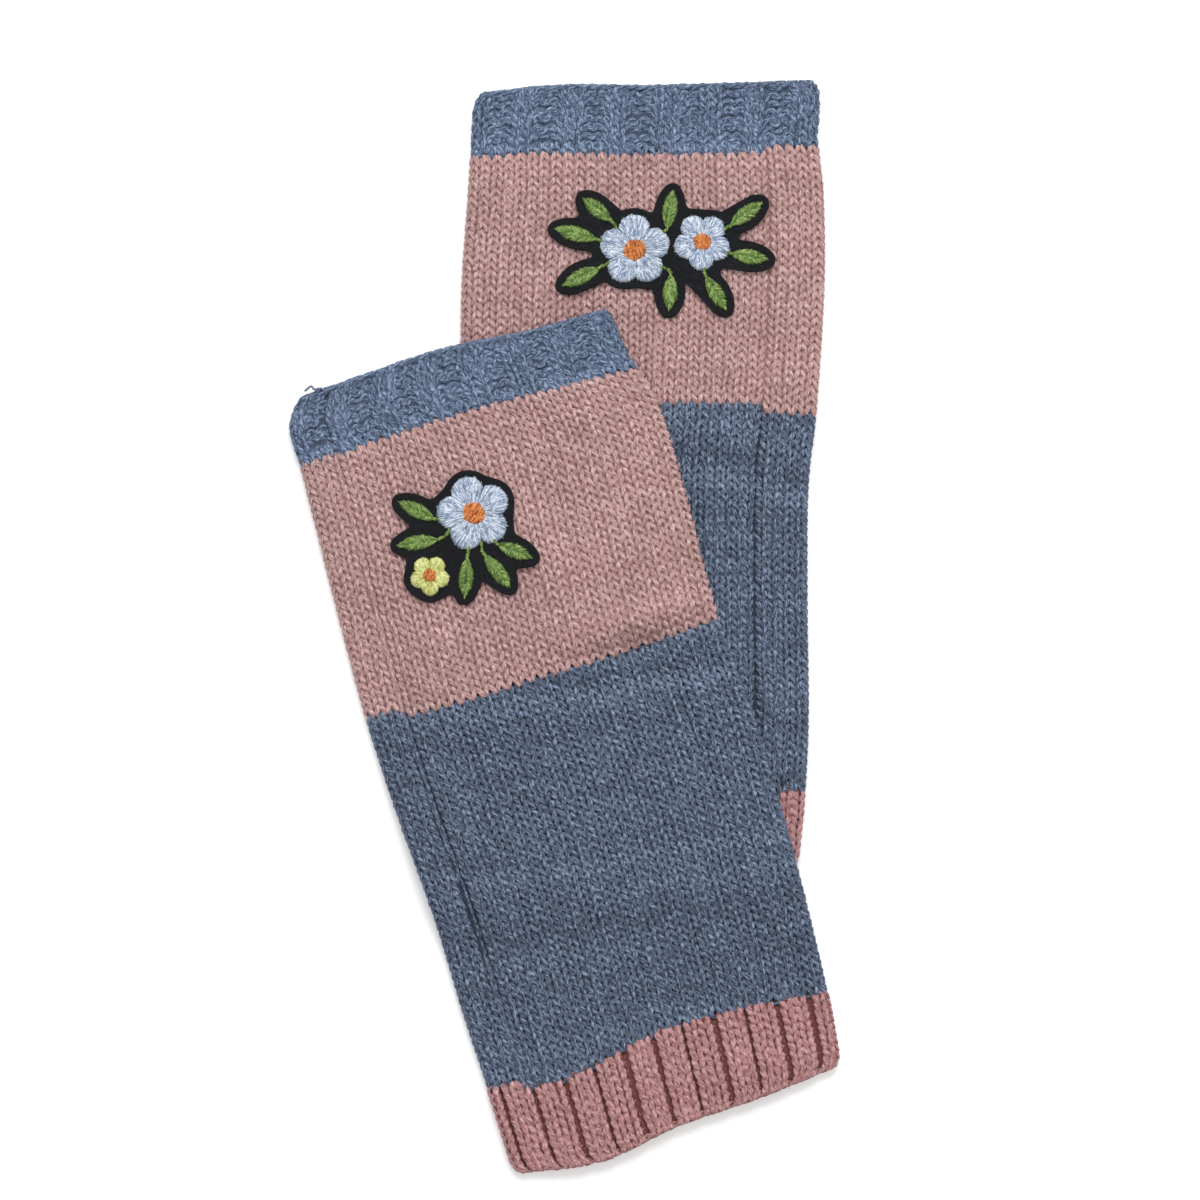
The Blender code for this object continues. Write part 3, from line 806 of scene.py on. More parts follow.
STOCKINETTE = {"shares": (1.0,), "sides": (1.0,), "levels": (0.0,), "phase": 0.4}
WIDE_RIB = {
    "shares": (0.25,) * 4,
    "sides": (1.0, 1.0, -1.0, -1.0),
    "levels": (0.1, 0.1, -0.25, -0.25),
    "depth": 0.4,
    "half_width": 1.16,
    "half_height": 0.62,
    "uneven": 2.2,
    "phase": -0.15,
    "plain_first": True,
}
DEEP_RIB = {
    "shares": (0.15, 0.425, 0.425),
    "sides": (-1.0, 1.0, 1.0),
    "levels": (-1.9, 0.3, 0.3),
    "slant": 0.18,
    "tall": 0.82,
    "half_width": 1.08,
}
UPPER_CUFF = Gauge(Knit.WIDE_RIB, 60, 8, **WIDE_RIB)
UPPER_BAND = Gauge(Knit.STOCKINETTE, 60, 31, **STOCKINETTE)
LOWER_BAND = Gauge(Knit.STOCKINETTE, 60, 45, **STOCKINETTE)
LOWER_CUFF = Gauge(Knit.DEEP_RIB, 66, 10, **DEEP_RIB)

# Corners of yarns, as angles in degrees round them, with most on the side that shows.
ROUND_YARN = (190.0, 140.0, 40.0, -10.0)
PLAIN_YARN = (90.0, 210.0, 330.0)
EVEN_YARN = (90.0, 162.0, 234.0, 306.0, 378.0)

PER_STITCH = 12  # places along the yarn of one stitch
PER_UNDER_STITCH = 5  # the same on the underside
SIDE_WALES = 0.8  # columns that a row goes on past each side fold
YARN_PER_ROW = 75.0  # mm that the yarn's tones move on from one row to the next
EASE_FROM = 3.2  # mm from an open end where the rows start to crowd up
EASE_ROOM = 2.4  # mm that they crowd into
HIDDEN = 10.0  # mm under the other warmer past which no stitch is made

SHELL_LOW = -0.95  # mm from the middle of the cloth, the deepest that a groove's floor lies
SHELL_INNER = -1.2  # mm from the middle of the cloth to the shell's inner side
SHELL_AROUND = {Knit.STOCKINETTE: 110, Knit.WIDE_RIB: 160, Knit.DEEP_RIB: 176}  # places round it
SHELL_LEVEL = {Knit.STOCKINETTE: 0.1, Knit.WIDE_RIB: 0.15, Knit.DEEP_RIB: 0.2}  # mm over a column's middle
SHELL_STEP = 3.0  # mm from one ring of the shell to the next
SHELL_INSET = 0.4  # mm from the piece's ends to the shell's

FIBRES_PER_MM2 = 0.09
FIBRE_WALE = 4.2  # mm of a column's width that fibres grow on
FIBRE_TURN = 4.1  # mm round the tube for each column, as fibres lie
FIBRE_PLACES = 3

EDGE_PER_WALE = 8  # places along the edge's yarn for each column
EDGE_RADIUS = 0.55  # mm
EDGE_YARN = 0.68  # mm, half its thickness
EDGE_INSET = 1.25  # mm from the end to the middle of the edge
EDGE_RUN = 4.6  # mm along the edge's yarn for each column
LOOSE_YARN = 0.4  # mm, half the thickness of the loose end


def attach(piece: bpy.types.Object, node: str) -> bpy.types.Object:
    """Let a piece ride on the pair and stand for its solid."""
    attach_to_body(piece, "root")
    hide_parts(node)
    return piece


@dataclass
class KnitPiece:
    """One knitted piece of a warmer: a thin shell of cloth with its rows of stitches on it."""

    cloth: Cloth
    part: str
    gauge: Gauge
    start: float
    end: float
    yarn: Finish
    # The shell's finish: a darker copy of the yarn, painted shade for the gaps between the stitches.
    gap: Finish
    fuzz: Finish
    slot: Slot
    pieces: list[bpy.types.Object] = field(default_factory=list)

    @property
    def node(self) -> str:
        """The name of the solid that this piece stands for."""
        return f"{self.cloth.name}_{self.part}"

    @property
    def pitch(self) -> float:
        """The height of a row in mm."""
        return (self.end - self.start) / self.gauge.rows

    def build(self, seed: int) -> None:
        """Build the shell, the stitches of both sides and the fuzz, with a seed for what is uneven."""
        made = (self.build_shell(), self.build_stitches(seed), self.build_under(seed), self.build_fuzz(seed))
        self.pieces = [attach(piece, self.node) for piece in made]

    def declare(self, with_pieces: Sequence[bpy.types.Object]) -> None:
        flat = float(self.cloth.flat_width(np.array((self.start + self.end) / 2)))
        shell, *rest = self.pieces
        rest += with_pieces

    def share_of(self, wale: Array) -> Array:
        """The share of the way round of a place counted in columns from the first rib's start."""
        rib = len(self.gauge.shares)
        ribs, within = np.divmod(wale, rib)
        wander = 0.05 * np.sin(ribs * 2.4 + self.cloth.length) + 0.03 * np.sin(ribs * 5.1)
        place = ribs + np.interp(within, np.arange(rib + 1), self.gauge.edges) + self.gauge.phase
        return (place + wander * np.sin(math.pi * within / rib)) * rib / self.gauge.wales

    def build_shell(self) -> bpy.types.Object:
        """The thin closed shell of cloth that shows in the gaps between the stitches, finished in a darker
        copy of the yarn as painted shade there.
        """
        around = SHELL_AROUND[self.gauge.knit]
        steps = max(int((self.end - self.start) / SHELL_STEP), 4)
        reach = np.linspace(self.start + SHELL_INSET, self.end - SHELL_INSET, steps + 1)
        grid = np.meshgrid(np.arange(around) / around, reach)
        level = self.gauge.level_at(self.gauge.wale_of(grid[0]))
        level = level + SHELL_LEVEL[self.gauge.knit] - self.cloth.join_depth(*grid)
        outer = self.cloth.place(*grid, np.maximum(level, SHELL_LOW))
        inner = self.cloth.place(*grid, np.float64(SHELL_INNER))
        number = np.arange(outer.size // 3 * 2).reshape(-1, around)
        count = len(number)
        quads = ring_quads(number, np.roll(number, -1, axis=0)).reshape(-1, 4)
        row, column = np.divmod(number.ravel(), around)
        ends = (row / count, (row + 1) / count, column / around, (column + 1) / around)
        bake = quad_map(*ends)[..., ::-1]
        builder = MeshBuilder(f"{self.node}_cloth")
        builder.add(np.concatenate((outer, inner[::-1])), quads, bake * (250.0, 40.0), bake)
        return builder.build(self.gap)

    def build_stitches(self, seed: int) -> bpy.types.Object:
        """The rows of stitches of the upper side, and the edges of the open ends."""
        random = np.random.default_rng(SEED + seed)
        builder = MeshBuilder(f"{self.node}_stitches")
        ends = (-SIDE_WALES, self.gauge.wales * TOP_SHARE + SIDE_WALES)
        strands, keep = self.rows_of_yarn(ends, PER_STITCH, random)
        strands.add_to(builder, ROUND_YARN, keep)
        if self.start == 0.0:
            self.add_edge(builder, EDGE_INSET, random)
        if self.end == self.cloth.length:
            self.add_edge(builder, self.cloth.length - EDGE_INSET, random)
        if self.start == 0.0 and self.cloth.loose_end:
            self.add_loose_end(builder)
        return builder.build(self.yarn)

    def build_under(self, seed: int) -> bpy.types.Object:
        """The rows of stitches of the underside, made more plainly."""
        builder = MeshBuilder(f"{self.node}_under_stitches")
        ends = (self.gauge.wales * TOP_SHARE + 0.5, self.gauge.wales - 0.5)
        strands, keep = self.rows_of_yarn(ends, PER_UNDER_STITCH, np.random.default_rng(SEED + seed + 500))
        strands.add_to(builder, PLAIN_YARN, keep)
        return builder.build(self.yarn)

    def rows_of_yarn(
        self, ends: tuple[float, float], per_stitch: int, random: np.random.Generator
    ) -> tuple[Strands, Array]:
        """The yarns of all rows between two columns, each one a row of loops.

        Args:
            ends: The columns to start and end at, counted from the left fold.
            per_stitch: Places along the yarn of one stitch.
            random: Gives the small irregularities.

        Returns:
            The strands, and which of their stretches are made.
        """
        gauge = self.gauge
        first, last = (end - gauge.before for end in ends)
        wale = np.linspace(first, last, int(round((last - first) * per_stitch)) + 1)
        rows = np.arange(gauge.rows)[:, None]
        wales = np.broadcast_to(wale, (len(rows), len(wale)))
        stripes = (self.cloth.cuff_end, self.cloth.stripe, self.cloth.band_end)
        step = np.interp(self.end - (rows + 0.5) * self.pitch, stripes, self.cloth.steps)
        from_join = wales - self.cloth.join_share * gauge.wales + gauge.before
        climb = step * (np.mod(from_join / gauge.wales, 1.0) - 0.5)
        turn = 2 * math.pi * wales
        loose, lean = (random.normal(0.0, 1.0, (len(rows), gauge.wales + 8)) for _ in range(2))
        grow = 1.0 + 0.06 * gauge.uneven * self.soft(loose, wales)
        plain = gauge.plain_first & (rows == 0)
        side = np.where(plain, 1.0, gauge.side_at(wales))
        x = wales + gauge.slant * np.sin(2 * turn) + 0.035 * gauge.uneven * self.soft(lean, wales)
        v = rows + climb + 0.5 - gauge.tall * grow * np.cos(turn)
        reach = self.eased(self.end - v * self.pitch)
        lively = 0.12 * (gauge.uneven - 1) * self.soft(lean[::-1], wales)
        level = np.where(plain, 0.0, gauge.level_at(x))
        height = level - gauge.depth * side * np.cos(2 * turn) + lively
        share = self.share_of(x)
        height = height - self.cloth.join_depth(share, reach)
        share = self.cloth.parted(share, reach)
        lines = self.cloth.place(share, reach, height)
        steps = np.linalg.norm(np.diff(lines, axis=1), axis=-1) / MM
        run = np.concatenate((np.zeros((len(rows), 1)), np.cumsum(steps, axis=1)), axis=1)
        run = run + random.uniform(0, 400) + rows * YARN_PER_ROW
        plump = 0.86 - 0.14 * np.cos(2 * turn)
        wide = gauge.half_width * plump * grow * gauge.narrowness(x) * MM
        tall = np.full(x.shape, gauge.half_height) * MM
        strands = Strands(lines, self.cloth.outward(share, reach), wide, tall, run)
        return strands, self.wanted(share, reach)

    @staticmethod
    def soft(values: Array, wales: Array) -> Array:
        """Random values of the stitches, blended along each row."""
        rows = np.arange(len(values))[:, None]
        whole = np.floor(wales)
        stitch = whole.astype(int) + 2
        part = smooth_step(wales - whole)
        return values[rows, stitch] * (1 - part) + values[rows, stitch + 1] * part

    def build_fuzz(self, seed: int) -> bpy.types.Object:
        """Loose fibres that stand off the yarn, as thin curved hairs."""
        random = np.random.default_rng(SEED + seed + 900)
        wales = self.gauge.wales
        count = int((self.end - self.start) * wales * TOP_SHARE * FIBRE_WALE * FIBRES_PER_MM2)
        share = random.uniform(-0.01, TOP_SHARE + 0.01, count)[:, None]
        reach = random.uniform(self.start + 0.5, self.end - 0.5, count)[:, None]
        way = random.uniform(0.0, 2 * math.pi, count)[:, None]
        long = random.uniform(1.0, 3.6, count)[:, None]
        bend = random.normal(0.0, 0.9, count)[:, None]
        t = np.linspace(0.0, 1.0, FIBRE_PLACES)
        step = long / (FIBRE_PLACES - 1) * np.stack((np.cos(way + bend * t), np.sin(way + bend * t)))
        across, along = np.cumsum(step, axis=-1) - step
        top = random.uniform(0.1, 0.75, (count, 1))
        level = self.gauge.level_at(share * wales)
        height = 0.85 + top * np.sin(math.pi * np.clip(t * 0.9 + 0.05, 0, 1)) + level
        shares = share + across / (wales * FIBRE_TURN)
        reaches = np.clip(reach + along, 0.4, self.cloth.length - 0.4)
        lines = self.cloth.place(shares, reaches, height)
        thin = random.uniform(0.03, 0.055, (count, 1)) * MM * (1 - 0.6 * t**2)
        run = random.uniform(0, 400, (count, 1)) + long * t
        strands = Strands(lines, self.cloth.outward(shares, reaches), thin, thin, run)
        builder = MeshBuilder(f"{self.node}_fuzz")
        strands.add_to(builder, PLAIN_YARN, self.wanted(shares, reaches))
        return builder.build(self.fuzz)

    def add_edge(self, builder: MeshBuilder, reach: float, random: np.random.Generator) -> None:
        """The cast-off edge of an open end: two turns of yarn wound round each other all round it.

        Args:
            builder: The mesh that it goes into.
            reach: How far down the warmer its middle runs, in mm.
            random: Gives its irregularities.
        """
        count = self.gauge.wales * EDGE_PER_WALE
        share = np.arange(count + 1) / count
        wale = share * self.gauge.wales
        wander = np.cumsum(random.normal(0.0, 0.35, (2, count + 1)), axis=1)
        wander -= share * wander[:, -1:]
        winding = math.pi * (wale + np.array(((0.0,), (1.0,)))) + 0.3 * np.tanh(wander)
        out = self.gauge.level_at(self.gauge.wale_of(share)) * 0.35 + EDGE_RADIUS * np.sin(winding) + 0.15
        lines = self.cloth.place(share, reach + EDGE_RADIUS * np.cos(winding), out)
        normals = unit(lines - self.cloth.place(share, reach, out * 0))
        thick = EDGE_YARN * MM * (1 + 0.08 * random.normal(0.0, 1.0, (2, 1)))
        width = np.broadcast_to(thick, out.shape)
        run = wale * EDGE_RUN + np.array(((0.0,), (170.0,)))
        Strands(lines, normals, width, width * 0.95, run).add_to(builder, EVEN_YARN)

    def add_loose_end(self, builder: MeshBuilder) -> None:
        """The short end of yarn that stands out at the upper edge."""
        spots = np.asarray(self.cloth.loose_end, float)
        t = np.linspace(0.0, len(spots) - 1.0, 8 * len(spots))
        line = np.stack([curve_through(range(len(spots)), spots[:, c], t) for c in range(3)], -1)
        upward = np.broadcast_to((0.0, 0.0, 1.0), line.shape)
        thin = np.broadcast_to(LOOSE_YARN * MM, (1, len(t)))
        Strands(line[None] * MM, upward[None], thin, thin, 3.0 * t[None]).add_to(builder, EVEN_YARN)

    def eased(self, reach: Array) -> Array:
        """Hold rows back from the warmer's open ends, so that their loops crowd up there."""
        from_end = np.minimum(reach, self.cloth.length - reach)
        past = np.maximum(EASE_FROM - from_end, 0.0)
        eased = np.where(past > 0, EASE_FROM - EASE_ROOM * np.tanh(past / EASE_ROOM), from_end)
        return np.where(reach < self.cloth.length / 2, eased, self.cloth.length - eased)

    def wanted(self, share: Array, reach: Array) -> Array:
        """Which stretches are made: those not deep between the two warmers."""
        x, y, _ = np.moveaxis(self.cloth.place(share, reach, np.float64(0.0)) / MM, -1, 0)
        on_top = np.mod(share, 1.0) < TOP_SHARE
        covered = depth_inside_rear(x, y) if self.cloth.over_rear else depth_inside_front(x, y)
        return np.where(on_top != self.cloth.over_rear, covered, -HIDDEN)[:, 1:] < HIDDEN


# Patches

PETALS = 5
PETAL_MIDDLE = 0.55  # of a blossom's radius, where the middles of its petals lie
HALF_PETAL = 180.0 / PETALS  # degrees
PETAL_FOOT = 0.55  # of a heart's radius, where the petals start
LEAF_DISCS = 5
BACKING_EDGE = 2.3  # mm of black round the embroidery
BACKING_BLEND = 1.2  # mm over which its outline blends from one disc to the next
BACKING_REACH = 45.0  # mm, where the search for its outline starts
BACKING_HEIGHT = 1.0  # mm
BACKING_SPOKES = 240
BACKING_RINGS = 7  # rings inside the edge's own
BACKING_INSETS = (2.6, 2.2, 1.8, 1.4, 1.0, 0.65, 0.4, 0.2, 0.07, 0.0)  # mm inside it, the edge's rings
CUSHION_RINGS = 5
HEART_CORNERS = 28
BED = 0.3  # mm that laid pieces stand off what is under them
STALK_HALF = 0.5  # mm, half the width of a leaf's stalk
STALK_HEIGHT = 0.34  # mm over its backing
FILL_THREAD = 0.2  # mm, half the width of a thread
THREAD_PLACES = 6  # places along each thread
FLAT_THREAD = (180.0, 120.0, 60.0, 0.0, -90.0)  # degrees round it, its corners

Heights = Callable[[Array], Array]


def polar(far: Array, angle: Array) -> Array:
    """Places in plan at some distances and angles in radians."""
    return np.stack((far * np.cos(angle), far * np.sin(angle)), -1)


def left_of(way: Array) -> Array:
    """The ways in plan, each turned a quarter turn to the left."""
    return np.stack((-way[..., 1], way[..., 0]), -1)


class Petalled(NamedTuple):
    """A blossom on a patch: mm from the patch's middle, and its radii."""

    x: float
    y: float
    radius: float
    turn: float
    heart: float
    thread: Finish
    slot: Slot

    @property
    def middle(self) -> Array:
        """Its middle, in mm from the patch's."""
        return np.array((self.x, self.y))

    @property
    def out(self) -> float:
        """How far from its middle the petals' middles lie, in mm."""
        return self.radius * PETAL_MIDDLE

    @property
    def petal(self) -> float:
        """The radius of a petal in mm."""
        return self.radius * (1 - PETAL_MIDDLE)

    def reach(self, angle: Array) -> Array:
        """How far out a petal goes at some angles off its axis, in mm."""
        off = self.out * np.sin(angle)
        return self.out * np.cos(angle) + np.sqrt(np.clip(self.petal**2 - off**2, 0, None))

    def heights(self, spots: Array) -> Array:
        """The blossom's height over its backing: domed petals that meet in grooves."""
        offset = spots - self.middle
        angle = np.degrees(np.arctan2(offset[..., 1], offset[..., 0])) - self.turn
        angle = np.radians(np.mod(angle + HALF_PETAL, 2 * HALF_PETAL) - HALF_PETAL)
        far = np.linalg.norm(offset, axis=-1)
        from_petal = np.hypot(far * np.cos(angle) - self.out, far * np.sin(angle)) / self.petal
        groove = np.exp(-((far * (math.pi / PETALS - np.abs(angle)) / 0.55) ** 2))
        return 0.28 + 0.42 * dome(from_petal) - 0.3 * groove

    def heart_heights(self, spots: Array) -> Array:
        """The heart's height over its backing."""
        return 0.62 + 0.55 * dome(np.linalg.norm(spots - self.middle, axis=-1) / self.heart)


class Leaf(NamedTuple):
    """A pointed leaf on a patch: the mm to its middle, its size and its angle in degrees."""

    x: float
    y: float
    length: float
    width: float
    angle: float

    @property
    def along(self) -> Array:
        """The way in which the leaf points."""
        return polar(1.0, math.radians(self.angle))

    def spot(self, place: Array, off: Array) -> Array:
        """Patch places at some mm along the leaf and off its vein, to the left."""
        along = self.along * np.asarray(place)[..., None]
        return np.array((self.x, self.y)) + along + left_of(self.along) * np.asarray(off)[..., None]

    def half_width(self, place: Array) -> Array:
        """Half the leaf's width at a place along it, in mm from its middle."""
        arc = (self.length**2 + self.width**2) / (4 * self.width)
        return np.sqrt(np.clip(arc**2 - place**2, 0, None)) - (arc - self.width / 2)

    def heights(self, spots: Array) -> Array:
        """The leaf's height over its backing, with a groove along its vein."""
        offset = spots - np.array((self.x, self.y))
        off = offset @ left_of(self.along)
        wide = np.maximum(self.half_width(offset @ self.along), 0.3)
        domed = 0.2 + 0.42 * dome(off / wide) * np.clip(wide / 2.0, 0.3, 1)
        return domed - 0.16 * np.exp(-((off / 0.35) ** 2))


@dataclass
class Patch:
    """A flower patch: a black backing with blossoms and leaves embroidered on it."""

    name: str
    cloth: Cloth
    x: float
    y: float
    turn: float
    blossoms: tuple[Petalled, ...]
    leaves: tuple[Leaf, ...]
    seed: int
    pieces: list[bpy.types.Object] = field(default_factory=list)

    def discs(self) -> Array:
        """The discs that the embroidery fills, as (x, y, radius) in mm."""
        turns = 360 / PETALS * np.arange(PETALS)
        share = np.linspace(-1.0, 1.0, LEAF_DISCS)
        found = []
        for bloom in self.blossoms:
            spots = bloom.middle + polar(bloom.out, np.radians(bloom.turn + turns))
            found += [(*spot, bloom.petal) for spot in spots]
        for leaf in self.leaves:
            spots = leaf.spot(share * leaf.length / 2, 0.0)
            found += [(*spot, radius) for spot, radius in zip(spots, leaf.width / 2 * (1 - share**2))]
        return np.asarray(found)

    def clearance(self, spots: Array) -> Array:
        """How far places are from the embroidery in mm, blended where two discs are as near."""
        x, y = spots[..., 0], spots[..., 1]
        near = np.stack([np.hypot(x - dx, y - dy) - radius for dx, dy, radius in self.discs()])
        return -BACKING_BLEND * np.log(np.exp(-near / BACKING_BLEND).sum(0))

    def outline(self, angles: Array) -> Array:
        """The backing's radius at some angles, in mm."""
        reach = np.full(angles.shape, BACKING_REACH)
        for step, back in ((0.5, 0.5), (0.05, 0.0)):
            for _ in range(200):
                out = self.clearance(polar(reach, angles)) > BACKING_EDGE
                reach = np.where(out, reach - step, reach)
            reach = reach + back
        return reach

    def on_cloth(self, spots: Array, height: Array) -> Array:
        """Lay patch places on the warmer.

        Args:
            spots: (..., 2) in mm from the patch's middle.
            height: Heights in mm above the warmer's upper side.

        Returns:
            Points (..., 3) in metres.
        """
        turn = math.radians(self.turn)
        x = self.x + spots[..., 0] * math.cos(turn) - spots[..., 1] * math.sin(turn)
        y = self.y + spots[..., 0] * math.sin(turn) + spots[..., 1] * math.cos(turn)
        return np.stack((x, y, self.cloth.lift(x, y) + TUBE + BED + height), -1) * MM

    def finish(self, builder: MeshBuilder, node: str, thread: Finish, slot: Slot) -> None:
        """Make the piece of a mesh and let it stand for its solid."""
        self.pieces.append(attach(builder.build(thread), f"{self.name}_{node}"))

    def build(self) -> None:
        """Build the backing, then every blossom, heart and leaf on it."""
        self.build_backing()
        for number, bloom in enumerate(self.blossoms, start=1):
            self.build_blossom(bloom, number)
            self.build_heart(bloom, number)
        for number, leaf in enumerate(self.leaves, start=1):
            self.build_leaf(leaf, number)

    def build_backing(self) -> None:
        """The black backing, rounded at its edge and a little sunk beside the embroidery."""
        angles = 2 * math.pi * np.arange(BACKING_SPOKES) / BACKING_SPOKES
        reach = self.outline(angles)
        insets = np.array(BACKING_INSETS)[:, None]
        inner = np.linspace(0.0, 1.0, BACKING_RINGS + 1)[1:-1, None] * (reach - insets[0])
        radius = np.concatenate((inner, reach - insets))
        spots = polar(radius, angles)
        inside = reach - radius
        height = BACKING_HEIGHT * dome(1 - np.clip(inside / 0.55, 0, 1)) ** 0.8
        height = height - 0.22 * np.exp(-(((self.clearance(spots) - 0.5) / 0.6) ** 2)) * (inside > 0.9)
        rims = np.concatenate((self.on_cloth(spots, height), self.on_cloth(spots[::-5], np.float64(-0.2))))
        quads, ends = rim_faces(*rims.shape[:2])
        row, column = np.divmod(quads, BACKING_SPOKES)
        wrapped = (column == 0) & np.array((False, False, True, True))
        bake = np.stack((np.where(wrapped, 1.0, column / BACKING_SPOKES), row / len(rims)), -1)
        builder = MeshBuilder(f"{self.name}_backing_cloth")
        builder.add(rims, quads, bake * (160.0, 8.0), bake)
        builder.more_faces(ends, np.zeros((*ends.shape, 2)), np.full((*ends.shape, 2), 0.999))
        self.finish(builder, "backing", BLACK_THREAD, Slot.BLACK)

    def lay_threads(
        self, builder: MeshBuilder, starts: Array, ends: Array, heights: Heights, seed: int
    ) -> None:
        """Lay straight threads side by side, each bowed up over the form under it.

        Args:
            builder: The mesh that they go into.
            starts: (threads, 2), patch places in mm.
            ends: (threads, 2).
            heights: Tells the form's height in mm above the backing at patch places (..., 2).
            seed: The seed of their irregularities.
        """
        random = np.random.default_rng(SEED + seed)
        single = (len(starts), 1)
        t = np.linspace(0.0, 1.0, THREAD_PLACES)
        way = unit(ends - starts)
        starts = starts + random.normal(0.0, 0.06, starts.shape) - way * random.uniform(-0.25, 0.25, single)
        ends = ends + random.normal(0.0, 0.08, ends.shape) + way * random.uniform(-0.3, 0.45, single)
        spots = starts[:, None] + (ends - starts)[:, None] * t[:, None]
        dip = 0.34 * (1 - np.sin(math.pi * t) ** 0.35)
        height = BACKING_HEIGHT + heights(spots) - dip + random.normal(0.0, 0.03, single)
        lines = self.on_cloth(spots, height)
        normals = np.broadcast_to((0.0, 0.0, 1.0), lines.shape)
        taper = 0.55 + 0.45 * np.sin(math.pi * t) ** 0.5
        width = FILL_THREAD * MM * random.uniform(0.9, 1.15, single) * taper
        run = np.linalg.norm(spots - spots[:, :1], axis=-1) + random.uniform(0, 500, single)
        Strands(lines, normals, width, width * 0.9, run).add_to(builder, FLAT_THREAD)

    def add_cushion(self, builder: MeshBuilder, rim: Array, middle: Array, heights: Heights) -> None:
        """The low cushion under a form's threads, which fills it between them.

        Args:
            builder: The mesh that it goes into.
            rim: (points, 2), the form's outline, patch places in mm.
            middle: (2,), a place inside it.
            heights: The form's height in mm above the backing.
        """
        shares = np.linspace(0.0, 1.0, CUSHION_RINGS + 1)[1:] * 0.97
        spots = middle + (rim - middle) * shares[:, None, None]
        height = BACKING_HEIGHT + heights(spots) - 0.08
        height[-1] = BACKING_HEIGHT + 0.05
        under = self.on_cloth(spots[-1:], np.float64(BACKING_HEIGHT - 0.15))
        quads, ends = rim_faces(CUSHION_RINGS + 1, len(rim))
        flat = np.concatenate((spots, spots[-1:])).reshape(-1, 2)
        bake = (flat[quads] - flat.min(0)) / (np.ptp(flat, axis=0) + 1e-9) * 0.06 + 0.93
        builder.add(np.concatenate((self.on_cloth(spots, height), under)), quads, flat[quads], bake)
        builder.more_faces(ends, flat[ends], np.full((*ends.shape, 2), 0.999))

    def build_blossom(self, bloom: Petalled, number: int) -> None:
        """A blossom of round petals, each filled with threads that fan out from its foot."""
        builder = MeshBuilder(f"{self.name}_blossom_{number}_threads")
        for index in range(PETALS):
            self.add_petal(builder, bloom, index)
        self.finish(builder, f"blossom_{number}", bloom.thread, bloom.slot)

    def add_petal(self, builder: MeshBuilder, bloom: Petalled, index: int) -> None:
        """One petal: a cushion, then two layers of threads, the inner ones shorter."""
        axis = math.radians(bloom.turn + 360 / PETALS * index)
        wedge = math.pi / PETALS * 0.97
        foot = bloom.heart * PETAL_FOOT
        outer, inner = np.linspace(-wedge, wedge, 25), np.linspace(wedge, -wedge, 9)
        rim = np.concatenate((polar(bloom.reach(outer), axis + outer), polar(foot, axis + inner)))
        middle = bloom.middle
        self.add_cushion(builder, middle + rim, middle + polar(bloom.out, axis), bloom.heights)
        arc = 2 * wedge * (bloom.out + bloom.petal * 0.6)
        threads = max(int(arc / (FILL_THREAD * 1.75)), 6)
        fan = np.linspace(-wedge, wedge, threads) * 0.98
        far = bloom.reach(fan) - 0.1
        random = np.random.default_rng(SEED + self.seed * 37 + index)
        near = foot + random.uniform(0.0, 0.5, threads)
        split = near + (far - near) * random.uniform(0.42, 0.62, threads)
        starts, halves, tips = (middle + polar(place, axis + fan) for place in (near, split, far))
        seed = self.seed * 100 + index
        self.lay_threads(builder, halves - polar(1.2, axis + fan), tips, bloom.heights, seed)
        self.lay_threads(builder, starts[::2], halves[::2], lambda s: bloom.heights(s) + 0.05, seed + 50)

    def build_heart(self, bloom: Petalled, number: int) -> None:
        """The heart: a low dome closely covered with short threads."""
        builder = MeshBuilder(f"{self.name}_heart_{number}_threads")
        rim = bloom.middle + polar(bloom.heart, 2 * math.pi * np.arange(HEART_CORNERS) / HEART_CORNERS)
        self.add_cushion(builder, rim, bloom.middle, bloom.heart_heights)
        random = np.random.default_rng(SEED + self.seed * 11 + number)
        rows = int(bloom.heart * 2 / (FILL_THREAD * 1.8))
        levels = np.linspace(-0.96, 0.96, rows)
        half = np.sqrt(1 - levels**2) * bloom.heart
        along = polar(1.0, math.radians(bloom.turn + 20))
        line = bloom.middle + left_of(along) * (levels * bloom.heart)[:, None]
        cut = random.uniform(-0.3, 0.3, rows)
        for first, last, seed in ((-1.0, cut, 700), (cut - 0.1, 1.0, 720)):
            starts, ends = (line + along * (half * share)[:, None] for share in (first, last))
            self.lay_threads(builder, starts, ends, bloom.heart_heights, number + seed)
        self.finish(builder, f"heart_{number}", ORANGE_THREAD, Slot.ORANGE)

    def build_leaf(self, leaf: Leaf, number: int) -> None:
        """A leaf: threads that slant from its vein to its edge on both sides, and its stalk."""
        builder = MeshBuilder(f"{self.name}_leaf_{number}_threads")
        half = leaf.length / 2
        reach = np.linspace(-half, half, 15)
        wide = np.maximum(leaf.half_width(reach), 0.0)
        rim = np.concatenate((leaf.spot(reach, -wide), leaf.spot(reach, wide)[-2:0:-1]))
        self.add_cushion(builder, rim, leaf.spot(0.0, 0.0), leaf.heights)
        self.add_stalk(builder, leaf.spot(-leaf.length * 0.46, 0.0), leaf.along, number)
        foot = np.linspace(-half - 0.6, half - 1.2, int(leaf.length / (FILL_THREAD * 1.6)))
        foot = foot[foot > -half]
        tip = np.clip(foot + 2.2, -half + 0.2, half - 0.1)
        wide = np.maximum(leaf.half_width(tip), 0.05)
        for side in (-1, 1):
            starts, ends = leaf.spot(foot, 0.08 * side), leaf.spot(tip, wide * side)
            self.lay_threads(builder, starts, ends, leaf.heights, number * 7 + side + 300)
        self.finish(builder, f"leaf_{number}", OLIVE_THREAD, Slot.OLIVE)

